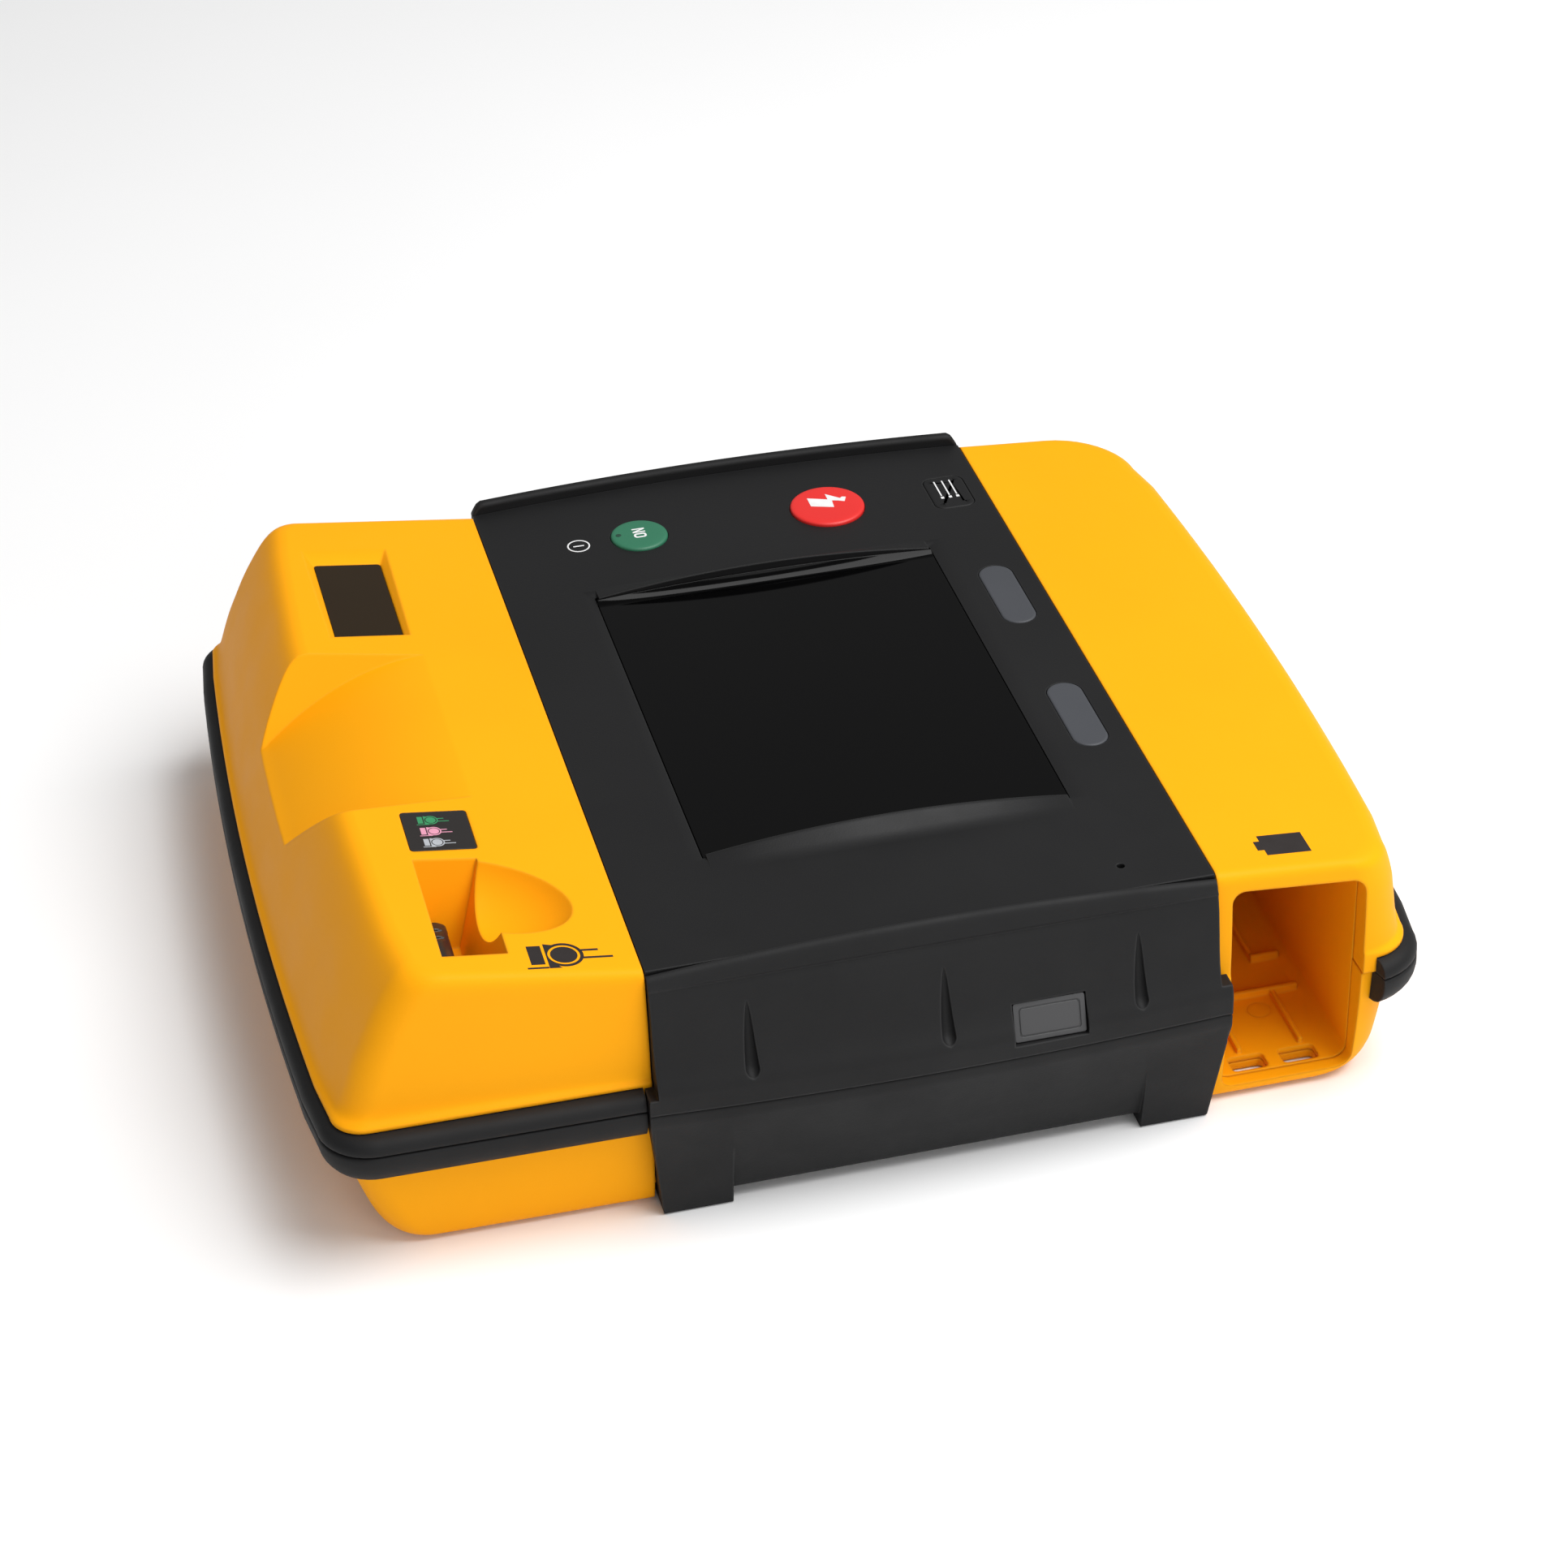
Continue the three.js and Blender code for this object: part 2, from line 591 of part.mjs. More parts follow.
function frontCase() {
  const outer = shell(UPPER_LEVELS);
  const core = shell(UPPER_CORE, { drop: PANEL_THICK + GAP });
  const sleeve = blackBand(SPLIT_Z, 100).subtract(core);
  const solidZones = join(
    saddleCutter(2.6),
    pocketSolid(3.2).intersect(box(-130, 0, -140, 0, POCKET.z - 3.2, 100)),
    scoopSolid(2.8),
    box(SOCKET.x0 - 3, POCKET.x0, SOCKET.y0 - 3, SOCKET.y1 + 3, SOCKET.z0 - 3, 100),
    slopedPlate(windowOutline(2.5), -7.8, 0),
  );
  const cavity = shell(CAVITY_UPPER, { inset: WALL, drop: WALL }).subtract(solidZones);
  const bosses = SCREW_PLACES.map(([x, y]) => (
    rod('z', x, y, BOSS_R, SPLIT_Z + SPLIT_HALF, CROWN_Z + 4, 12)
  ));
  const trimmed = shell(UPPER_LEVELS, { inset: 2, drop: 2 });
  const hollowed = join(outer.subtract(cavity), ...bosses.map((boss) => boss.intersect(trimmed)));
  return cut(
    hollowed,
    sleeve,
    ...seats,
    bayHole,
    saddleCutter(0),
    pocketSolid(0),
    scoopSolid(0),
    box(SOCKET.x0 - GAP, POCKET.x0 + 1, SOCKET.y0 - GAP, SOCKET.y1 + GAP, SOCKET.z0 - GAP, SOCKET.z1 + GAP),
    slopedPlate(windowOutline(0.9), -1.2, 2),
    slopedPlate(windowOutline(-2), -12, 2),
    slopedPlate(windowOutline(0), -3.4, 2),
    slopedPlate(labelOutline(0.25), -LABEL.thick, 2),
    box(SCREEN.x0 - 2, SCREEN.x1 + 2, SCREEN.y0 - 2, SCREEN.y1 + 2, 50, 80),
    box(-30, 77, 70, 98, 50, 80),
    box(62, 76.5, -50, 70.5, 50, 80),
    rod('z', MIC.x, MIC.y, 2.4, 50, 80, 12),
    box(IRDA.x0 + 1, IRDA.x1 - 1, -110, -90, IRDA.z0 + 1, IRDA.z1 - 1),
    ...SCREW_PLACES.map(([x, y]) => rod('z', x, y, 1.5, 20, 48, 12)),
  );
}

function rearCase() {
  const outer = shell(LOWER_LEVELS);
  const core = shell(LOWER_CORE);
  const keep = box(-140, 140, -90, 90, -5, 40);
  const sleeve = cut(blackBand(-5, SPLIT_Z), core, keep);
  const bosses = SCREW_PLACES.map(([x, y]) => rod('z', x, y, BOSS_R + 1, 2, SPLIT_Z - SPLIT_HALF, 16));
  const cavity = shell(CAVITY_LOWER, { inset: WALL });
  const hollowed = join(outer.subtract(cavity), ...bosses);
  const grille = Array.from({ length: 5 }, (_, i) => {
    const x = SPEAKER.x + (i - 2) * 7;
    const reach = 14 - Math.abs(i - 2) * 3;
    return prism('z', roundedRect(x - 1.3, x + 1.3, SPEAKER.y - reach, SPEAKER.y + reach, 1.2, 3), -2, 8);
  });
  return cut(
    hollowed,
    sleeve,
    ...seats,
    bayHole,
    ...slotCutters,
    ...grille,
    ...SCREW_PLACES.map(([x, y]) => rod('z', x, y, 1.9, -2, 40, 12)),
    ...SCREW_PLACES.map(([x, y]) => rod('z', x, y, 3.7, -2, 5.4, 12)),
  );
}

add('front_case', 'yellow', frontCase());
add('rear_case', 'yellow', rearCase());

const SEAL_IN = -5.6;
const SEAL_OUT = -4.2;

// ---------------------------------------------------------------- control panel
const panelStations = Array.from({ length: 13 }, (_, i) => PANEL_LEFT + (i / 12) * 2 * PANEL_HALF);
const camber = (x) => 1 - Math.min(1, Math.abs((x - PANEL_MID) / PANEL_HALF)) ** 2;
const farEdge = (x) => PANEL_FAR + PANEL_FAR_BOW * camber(x);
const SCREEN_MID = (SCREEN.x0 + SCREEN.x1) / 2;
const SCREEN_HALF = (SCREEN.x1 - SCREEN.x0) / 2;
const BEZEL_RISE = 3.3;
const BEZEL_REACH = 5.2;

// The rims along two sides of the screen arch up at their middle and slope back to the panel.
function bezelRim(side) {
  const edge = side > 0 ? SCREEN.y1 : SCREEN.y0;
  const stations = Array.from({ length: 13 }, (_, i) => SCREEN_MID + (i / 6 - 1) * (SCREEN_HALF - 0.5));
  return ribbon(stations, (x) => {
    const arch = 1 - ((x - SCREEN_MID) / SCREEN_HALF) ** 2;
    return [
      [edge, PANEL_Z - 1],
      [edge + side * (1 + BEZEL_REACH), PANEL_Z - 1],
      [edge + side * (0.6 + BEZEL_REACH), PANEL_Z],
      [edge + side * 0.8, PANEL_Z + 0.05 + BEZEL_RISE * arch],
      [edge, PANEL_Z + 0.05 + BEZEL_RISE * arch],
    ];
  });
}

function controlPanel() {
  const outline = [
    [PANEL_LEFT, PANEL_NEAR],
    [PANEL_RIGHT, PANEL_NEAR],
    ...[...panelStations].reverse().map((x) => [x, farEdge(x)]),
  ];
  const plate = prism('z', outline, PANEL_Z - PANEL_THICK, PANEL_Z);
  const screenHole = box(
    SCREEN.x0 - 0.25, SCREEN.x1 + 0.25, SCREEN.y0 - 0.25, SCREEN.y1 + 0.25, 60, 80,
  );
  return cut(
    join(plate, bezelRim(1), bezelRim(-1)),
    screenHole,
    ...Object.values(keyOutlines).map((outlineOf) => prism('z', outlineOf(KEY_GAP), 60, 80)),
    rod('z', MIC.x, MIC.y, MIC.r, 60, 80, 12),
  );
}

add('control_panel', 'panelBlack', controlPanel());

for (const [name, outlineOf] of Object.entries(keyOutlines)) {
  const top = KEY_TOPS[name];
  const look = { on_button: 'green', shock_button: 'red', menu_button: 'panelBlack' }[name] ?? 'keyGrey';
  add(name, look, join(
    prism('z', outlineOf(KEY_FLANGE), ...KEY_FLANGE_Z),
    prism('z', outlineOf(0), KEY_FLANGE_Z[0], top - 0.5),
    prism('z', outlineOf(-0.5), KEY_FLANGE_Z[0], top),
  ));
}

// ---------------------------------------------------------------- grips
const LIP_NEAR = 115;
const NEAR_RISE = 2.8;            // how far the near crest arches up over the panel's edge
const LIP_BOW = 2.3;
const LIP_Z = 41.8;
const INNER = CORE_HALF + GAP;
const GROOVES = [-34.6, 11.6, 58.8];

function gripUpperSection(side, x) {
  const c = camber(x);
  const far = side > 0;
  const edge = farEdge(x) + GAP;
  const crest = far
    ? [[INNER, 65.0], [edge, 65.0], [edge, 70.9], [edge + 0.7, 71.6], [edge + 2.4, 71.6], [edge + 3.3, 70.6]]
    : [[INNER, 62], [INNER + 1, 65.0], [-PANEL_NEAR + GAP, 65.2],
      [-PANEL_NEAR + GAP, 67.9 + NEAR_RISE * c], [-PANEL_NEAR + 1.9, 67.2 + NEAR_RISE * c],
      [-PANEL_NEAR + 2.7, 65.6 + NEAR_RISE * c], [-PANEL_NEAR + 3.3, 64.9]];
  const points = [
    [INNER, SPLIT_Z + 0.15],
    ...crest,
    [110.9 + 1.2 * c, 53],
    [112.4 + LIP_BOW * 0.8 * c, 43],
    [LIP_NEAR - 0.8 + LIP_BOW * c, LIP_Z],
    [LIP_NEAR + LIP_BOW * c, LIP_Z - 1.2],
    [LIP_NEAR + LIP_BOW * c, SPLIT_Z + 0.15],
  ];
  return points.map(([y, z]) => [side * y, z]);
}

function gripLowerSection(side, x) {
  const c = camber(x);
  const points = [
    [LIP_NEAR - 0.2 + LIP_BOW * c, SPLIT_Z - 0.15],
    [LIP_NEAR - 0.2 + LIP_BOW * c, 31],
    [110.8 + 1.4 * c, 14],
    [108.6 + 0.4 * c, 4.2],
    [107.4, 2.9],
    [90.4, 2.9],
    [90.4, 3.4],
    [101.4, 3.4],
    [INNER - 0.9, 5.2],
    [INNER, 8],
    [INNER, SPLIT_Z - 0.15],
  ];
  return points.map(([y, z]) => [side * y, z]);
}

// Outside the panel's width the grips may only cover the outer face of the yellow case.
function besideCase(side) {
  const y0 = side > 0 ? -10 : -109.4;
  const y1 = side > 0 ? 109.4 : 10;
  return join(
    box(-90, PANEL_LEFT, y0, y1, -5, 90),
    box(PANEL_RIGHT, 110, y0, y1, -5, 90),
  );
}

const gripStations = [LIP_LEFT, ...panelStations, LIP_RIGHT];

function gripUpper(side) {
  const body = ribbon(gripStations, (x) => gripUpperSection(side, x));
  const overhang = join(
    box(-90, PANEL_LEFT, -140, 140, BUMPER_TOP + 0.2, 90),
    box(PANEL_RIGHT, 110, -140, 140, LIP_Z + 0.1, 90),
  );
  const grooves = GROOVES.map((x) => toSolid(
    new THREE.SphereGeometry(1, 12, 8).scale(2.2, 1.3, 10.5).translate(x, side * 112.9, 48.5),
  ));
  return cut(body, overhang, besideCase(side), ...grooves);
}

function gripLower(side) {
  const body = ribbon(gripStations, (x) => gripLowerSection(side, x));
  const front = prism('y', [
    [LIP_LEFT, 40],
    [LIP_LEFT, 30],
    [PANEL_LEFT + 1.4, -5],
    [PANEL_RIGHT - 1.4, -5],
    [LIP_RIGHT, 30],
    [LIP_RIGHT, 40],
  ], -130, 130);
  const foot = [
    [109.3, 0],
    [109.9, 0.7],
    [114.6, 30.5],
    [112, 31],
    [105.4, 18],
    [105.4, 6],
    [104.6, 3.3],
    [92, 3.3],
    [92, 0],
  ].map(([y, z]) => [side * y, z]);
  const feet = [[-58, -39.3], [61.5, 81]].map(([x0, x1]) => prism('x', foot, x0, x1));
  return cut(join(body, ...feet).intersect(front), besideCase(side));
}

const irdaSeat = box(IRDA.x0 - GAP, IRDA.x1 + GAP, -125, -100, IRDA.z0 - GAP, IRDA.z1 + GAP);
const nearUpper = gripUpper(-1);
add('near_grip_upper', 'rubberBlack', nearUpper.subtract(irdaSeat));
add('near_grip_lower', 'rubberBlack', gripLower(-1));
add('far_grip_upper', 'rubberBlack', gripUpper(1));
add('far_grip_lower', 'rubberBlack', gripLower(1));
add('data_window', 'windowGrey', box(IRDA.x0, IRDA.x1, -112.6, -105.2, IRDA.z0, IRDA.z1));

for (const [end, path] of Object.entries(BUMPER_PATHS)) {
  add(`bumper_${end}_upper`, 'rubberBlack', sweep(path, BUMPER_UPPER));
  add(`bumper_${end}_lower`, 'rubberBlack', sweep(path, BUMPER_LOWER));
}

// ---------------------------------------------------------------- battery bay liner and contacts
// The bay's mouth follows the rounded near face of the case.
const MOUTH_FACE = [
  [60, 0],
  [-102.4, 0],
  [-103.9, 1.6],
  [-104.9, 3.2],
  [-105.6, 6],
  [-106.6, 13],
  [-107.4, 22],
  [-107.6, 30],
  [-107.6, 56],
  [-106.8, 61],
  [-105.8, 66],
  [60, 66],
];

function batteryBay() {
  const outer = prism('y', bayOutline(BAY_WALL), BAY.y0, BAY.y1 + BAY_WALL);
  const inner = prism('y', bayOutline(0), BAY.y0 - 5, BAY.y1);
  const ribs = [
    box(107.2, 108.4, -94, -73, BAY.z0 - 0.5, BAY.z0 + 1.4),
    box(91.4, 92.6, -94, -73, BAY.z0 - 0.5, BAY.z0 + 1.4),
    box(BAY.x0 + 2, BAY.x1 - 2, -73.8, -72.6, BAY.z0 - 0.5, BAY.z0 + 2),
    box(107.2, BAY.x1 - 2, -60.2, -59, BAY.z0 - 0.5, BAY.z0 + 2),
    box(107.2, 108.4, -60, 20, BAY.z0 - 0.5, BAY.z0 + 1.4),
  ];
  const contactHole = box(90, 110, BAY.y1 - 1, BAY.y1 + 4, 40, 52);
  const lined = cut(join(outer.subtract(inner), ...ribs), contactHole, ...slotCutters);
  return lined.intersect(prism('x', MOUTH_FACE, 60, 140));
}

add('battery_bay', 'yellow', batteryBay());
add('battery_contact_block', 'rubberBlack', box(90.3, 109.7, BAY.y1 + 0.2, BAY.y1 + 12, 40.3, 51.7));
for (const [i, x] of [92.5, 97.5, 102.5, 107.5].entries()) {
  add(`battery_contact_${i + 1}`, 'brass', box(x - 1.2, x + 1.2, BAY.y1 - 5, BAY.y1 - 0.1, 44, 48));
}

// ---------------------------------------------------------------- display
add('display_lens', 'glassBlack', box(
  SCREEN.x0, SCREEN.x1, SCREEN.y0, SCREEN.y1, PANEL_Z - 2, PANEL_Z - 0.2,
));
add('display_module', 'board', box(
  SCREEN.x0 + 1, SCREEN.x1 - 1, SCREEN.y0 + 1, SCREEN.y1 - 1, 60.4, PANEL_Z - 2.3,
));
add('display_bracket', 'steel', cut(
  box(SCREEN.x0 - 1.5, SCREEN.x1 + 1.5, SCREEN.y0 - 1.5, SCREEN.y1 + 1.5, 57.4, 60.1),
  box(SCREEN.x0 + 10, SCREEN.x1 - 10, SCREEN.y0 + 10, SCREEN.y1 - 10, 50, 70),
));
add('switch_board', 'board', join(
  box(-28, 76, 72, 96, 60.6, 62.2),
  box(62.5, 76, -49, 73, 60.6, 62.2),
));
add('readiness_window', 'windowSmoke', slopedPlate(windowOutline(-0.25), -3.1, -1.5));
add('readiness_display', 'board', slopedPlate(windowOutline(-2.3), -7.4, -3.4));
add('recess_label', 'panelBlack', slopedPlate(labelOutline(0), -LABEL.thick + 0.02, 0.05));

// ---------------------------------------------------------------- electrode connector
function connectorSocket() {
  const body = box(SOCKET.x0, SOCKET.x1, SOCKET.y0, SOCKET.y1, SOCKET.z0, SOCKET.z1);
  return body.subtract(box(
    SOCKET.x0 + 3, SOCKET.x1 + 1, SOCKET.y0 + 1.6, SOCKET.y1 - 1.6, SOCKET.z0 + 1.6, SOCKET.z1 - 1.6,
  ));
}

add('connector_socket', 'rubberBlack', connectorSocket());
for (const [i, y] of [-81.5, -77.5, -73.5].entries()) {
  add(`connector_pin_${i + 1}`, 'brass', rod('x', y, 55.3, 0.8, SOCKET.x0 + 3.3, SOCKET.x1 - 2, 12));
}

// ---------------------------------------------------------------- electronics
add('main_board', 'board', box(-98, 72, -77, 77, 16, 17.6));
add('energy_capacitor', 'capBlue', rod('y', -88, 34.2, 15, -30, 64, 32));
add('transformer', 'copper', cut(
  box(-40, -8, 30, 60, 18, 40),
  box(-30, -18, 24, 66, 25, 33),
));
add('transfer_relay', 'white', box(-94, -74, -72, -44, 18, 36));
add('heat_sink', 'steel', cut(
  box(0, 46, -70, -40, 18, 42),
  ...[0, 1, 2, 3, 4].map((i) => box(4 + i * 8.5, 8.5 + i * 8.5, -80, -30, 24, 50)),
));
add('processor_module', 'rubberBlack', box(-10, 18, -12, 16, 18, 21));
add('backup_cell', 'steel', rod('z', 48, -10, 10, 18, 21.4, 28));
add('speaker', 'rubberBlack', join(
  rod('z', SPEAKER.x, SPEAKER.y, SPEAKER.r - 2, FLOOR_Z + GAP, 8, 24),
  rod('z', SPEAKER.x, SPEAKER.y, 9, FLOOR_Z + GAP, 13.5, 16),
));
add('microphone', 'steel', rod('z', MIC.x, MIC.y, 2, 62, 65.4, 16));
add('data_board', 'board', box(IRDA.x0 - 4, IRDA.x1 + 4, -98.6, -97, 36, 54));

// ---------------------------------------------------------------- seal and screws
function sealPath() {
  const ring = plan({ left: BUMPER_BASE.left, right: BUMPER_BASE.right, half: BUMPER_BASE.half });
  const near = (x) => [x, -BUMPER_BASE.half];
  const start = ring.findIndex(([x, y]) => x > 119 && y > -BUMPER_BASE.half + 2);
  const end = ring.findIndex(([x, y]) => x === PANEL_RIGHT && y < 0);
  const loop = [];
  for (let i = start; i !== end; i = (i + 1) % ring.length) {
    loop.push(ring[i]);
  }
  return withNormals([...loop, near(PANEL_RIGHT - 0.5)]);
}

add('case_seal', 'rubberBlack', sweep(sealPath(), [
  [SEAL_IN, SPLIT_Z - 0.3],
  [SEAL_OUT, SPLIT_Z - 0.3],
  [SEAL_OUT, SPLIT_Z + 0.3],
  [SEAL_IN, SPLIT_Z + 0.3],
]));

for (const [i, [x, y]] of SCREW_PLACES.entries()) {
  const profile = [[0, 2.4], [3.3, 2.4], [3.3, 5.1], [1.45, 5.1], [1.3, 46], [0, 46]];
  const points = profile.map(([r, z]) => new THREE.Vector2(r, z));
  const geometry = new THREE.LatheGeometry(points, 12);
  geometry.rotateX(Math.PI / 2);
  geometry.translate(x, y, 0);
  const solid = toSolid(geometry);
  add(`case_screw_${i + 1}`, 'steel', outward(solid, geometry));
}

export default device;
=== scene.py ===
"""Looks for a portable defibrillator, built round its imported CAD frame. Sizes are in millimetres
in the CAD's own frame and are turned into metres where a mesh is made."""
import math
from types import SimpleNamespace as Sizes

import bmesh
import bpy
from mathutils import Matrix, Vector
from mathutils.geometry import tessellate_polygon


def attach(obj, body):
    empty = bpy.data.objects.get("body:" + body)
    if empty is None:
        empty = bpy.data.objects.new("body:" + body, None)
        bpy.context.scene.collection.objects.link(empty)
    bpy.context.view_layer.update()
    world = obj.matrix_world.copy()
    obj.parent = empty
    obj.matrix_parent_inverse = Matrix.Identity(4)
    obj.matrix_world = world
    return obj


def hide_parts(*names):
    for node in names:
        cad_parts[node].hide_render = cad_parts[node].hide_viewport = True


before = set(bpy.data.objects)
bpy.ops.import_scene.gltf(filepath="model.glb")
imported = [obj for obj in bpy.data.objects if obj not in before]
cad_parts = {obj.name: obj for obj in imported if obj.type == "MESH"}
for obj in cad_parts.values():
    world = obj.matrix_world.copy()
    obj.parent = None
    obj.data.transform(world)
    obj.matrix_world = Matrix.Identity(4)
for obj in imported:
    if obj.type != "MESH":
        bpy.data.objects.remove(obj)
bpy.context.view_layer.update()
MM = 0.001

# -------- driving dimensions
GAP = 0.3  # clearance between neighbouring pieces
SEAM = 0.15  # half the parting line of the rubber pieces
PANEL_Z = 68.6
PANEL_LEFT, PANEL_RIGHT = -56.85, 79.0
PANEL_MID = (PANEL_LEFT + PANEL_RIGHT) / 2
PANEL_HALF = (PANEL_RIGHT - PANEL_LEFT) / 2
PANEL_NEAR, PANEL_FAR, PANEL_FAR_BOW = -105.6, 106.0, 3.8
PANEL_THICK = 3.0
LEFT_RISE, RIGHT_FALL = 0.1398, 0.08  # slopes of the top beside the panel
CROWN_Z, LEVEL_SPLIT = 76.2, 56.0
SIDE_BOW, HALF_DEPTH = 4.5, 107.0
SPLIT_Z, SPLIT_HALF = 34.0, 0.32  # parting line of the case and half its width
WALL, FLOOR_Z, SLEEVE = 6.2, 3.4, 3.6
NEAR_LEFT_CORNER, FAR_LEFT_CORNER = 8.0, 5.0
NEAR_RIGHT_CORNER, FAR_RIGHT_CORNER = 11.0, 18.0
ARC_STEPS, BOW_STEPS = 10, 16
SCREEN = Sizes(x0=-33.6, x1=56.5, y0=-64.9, y1=54.3)
SCREEN_MID = (SCREEN.x0 + SCREEN.x1) / 2
SCREEN_HALF = (SCREEN.x1 - SCREEN.x0) / 2
BEZEL_RISE, BEZEL_REACH = 3.3, 5.2
SCREEN_TOP = 67.75
BODY = "device"
BEYOND = 140  # past the case on every side, for cutting tools
THROUGH_CASE = (50, 80)  # height range of a tool that opens the top of the case
THROUGH_PANEL = (60, 80)


# -------- meshes and booleans
def mesh_object(name, verts, faces):
    """A new object from vertices in millimetres."""
    mesh = bpy.data.meshes.new(name)
    mesh.from_pydata([(x * MM, y * MM, z * MM) for x, y, z in verts], [], faces)
    mesh.validate()
    obj = bpy.data.objects.new(name, mesh)
    bpy.context.scene.collection.objects.link(obj)
    return obj


def apply_modifiers(obj):
    depsgraph = bpy.context.evaluated_depsgraph_get()
    old = obj.data
    obj.data = bpy.data.meshes.new_from_object(obj.evaluated_get(depsgraph))
    obj.modifiers.clear()
    bpy.data.meshes.remove(old)


def combine(obj, others, operation="DIFFERENCE"):
    """Joins or cuts obj with each closed mesh in turn, and removes the tools."""
    for other in others:
        mod = obj.modifiers.new("combine", "BOOLEAN")
        mod.operation = operation
        mod.solver = "MANIFOLD"
        mod.object = other
        apply_modifiers(obj)
        bpy.data.objects.remove(other)
    return obj


def join(obj, *others):
    return combine(obj, others, "UNION")


def cut(obj, *others):
    return combine(obj, others, "DIFFERENCE")


def intersect(obj, *others):
    return combine(obj, others, "INTERSECT")


def band_faces(ring, splits, offset, down):
    """Faces of a cap, split at the given x values so that each face is flat."""
    edges = [-math.inf, *splits, math.inf]
    faces = []
    for low, high in zip(edges, edges[1:]):
        members = [offset + i for i, p in enumerate(ring) if low - 1e-6 <= p[0] <= high + 1e-6]
        faces.append(members[::-1] if down else members)
    return faces


def side_quads(count, rings, turned_over=False):
    """The quads between neighbouring rings of `count` points each."""
    quads = []
    for r in range(rings - 1):
        a, b = r * count, (r + 1) * count
        for i in range(count):
            j = (i + 1) % count
            quad = (a + i, b + i, b + j, a + j) if turned_over else (a + i, a + j, b + j, b + i)
            quads.append(quad)
    return quads


def loft(name, rings, splits=()):
    """A closed body through rings with equal point counts, low ring first."""
    count = len(rings[0])
    verts = [p for ring in rings for p in ring]
    faces = band_faces(rings[0], splits, 0, True)
    faces += band_faces(rings[-1], splits, (len(rings) - 1) * count, False)
    return mesh_object(name, verts, faces + side_quads(count, len(rings)))


def area2(points):
    """Twice the signed area: positive for a counter-clockwise outline."""
    return sum(a[0] * b[1] - b[0] * a[1] for a, b in zip(points, points[1:] + points[:1]))


def place(axis, a, b, along):
    """The 3-D point for two outline coordinates and a distance along the third axis."""
    return {"x": (along, a, b), "y": (a, along, b), "z": (a, b, along)}[axis]


def prism(name, axis, outline, low, high):
    """A flat outline pushed along one axis; its pairs are the other two coordinates in order."""
    points = list(outline)
    if (area2(points) > 0) == (axis == "y"):  # so that every face looks outwards
        points = points[::-1]
    count = len(points)
    verts = [place(axis, a, b, along) for along in (low, high) for a, b in points]
    caps = [tuple(range(count))[::-1], tuple(range(count, 2 * count))]
    return mesh_object(name, verts, caps + side_quads(count, 2))


def rect(x0, x1, y0, y1):
    return [(x0, y0), (x1, y0), (x1, y1), (x0, y1)]


def block(name, x0, x1, y0, y1, z0, z1):
    return prism(name, "z", rect(x0, x1, y0, y1), z0, z1)


def stations(low, high, count):
    return [low + (high - low) * i / (count - 1) for i in range(count)]


def circle(cx, cy, radius, segments=48):
    turns = [2 * math.pi * i / segments for i in range(segments)]
    return [(cx + radius * math.cos(a), cy + radius * math.sin(a)) for a in turns]


def arc(cx, cy, radius, start, steps=ARC_STEPS):
    """A quarter turn, counter-clockwise from the start angle in degrees."""
    angles = [math.radians(start + 90 * i / steps) for i in range(steps + 1)]
    return [(cx + radius * math.cos(a), cy + radius * math.sin(a)) for a in angles]


def rounded_rect(x0, x1, y0, y1, radius, steps=8):
    left, right, low, high = x0 + radius, x1 - radius, y0 + radius, y1 - radius
    corners = [(right, low, -90), (right, high, 0), (left, high, 90), (left, low, 180)]
    return [p for x, y, start in corners for p in arc(x, y, radius, start, steps)]


def grown_rect(bounds, grow, radius, steps=5):
    x0, x1, y0, y1 = bounds
    return rounded_rect(x0 - grow, x1 + grow, y0 - grow, y1 + grow, radius, steps)


def soften(points, radius, steps=4):
    """A closed run of 2-D points with each corner rounded off."""
    out = []
    count = len(points)
    for i, point in enumerate(points):
        here = Vector(point)
        before = Vector(points[i - 1]) - here
        after = Vector(points[(i + 1) % count]) - here
        reach = min(radius, before.length * 0.45, after.length * 0.45)
        start = here + before.normalized() * reach
        end = here + after.normalized() * reach
        for k in range(steps + 1):
            t = k / steps
            curve = start * (1 - t) ** 2 + here * 2 * t * (1 - t) + end * t ** 2
            out.append((curve.x, curve.y))
    return out


def strip(name, sections):
    """A closed body through flat sections, each a list of 3-D points, with end caps."""
    count = len(sections[0])
    verts = [p for section in sections for p in section]
    faces = side_quads(count, len(sections), turned_over=True)
    last = (len(sections) - 1) * count
    faces.append(tuple(range(count)))
    faces.append(tuple(range(last, last + count))[::-1])
    obj = mesh_object(name, verts, faces)
    fix_outside(obj)
    return obj


def fix_outside(obj):
    """Turns the faces over if the closed mesh is inside out."""
    shape = bmesh.new()
    shape.from_mesh(obj.data)
    if shape.calc_volume(signed=True) < 0:
        obj.data.flip_normals()
    shape.free()


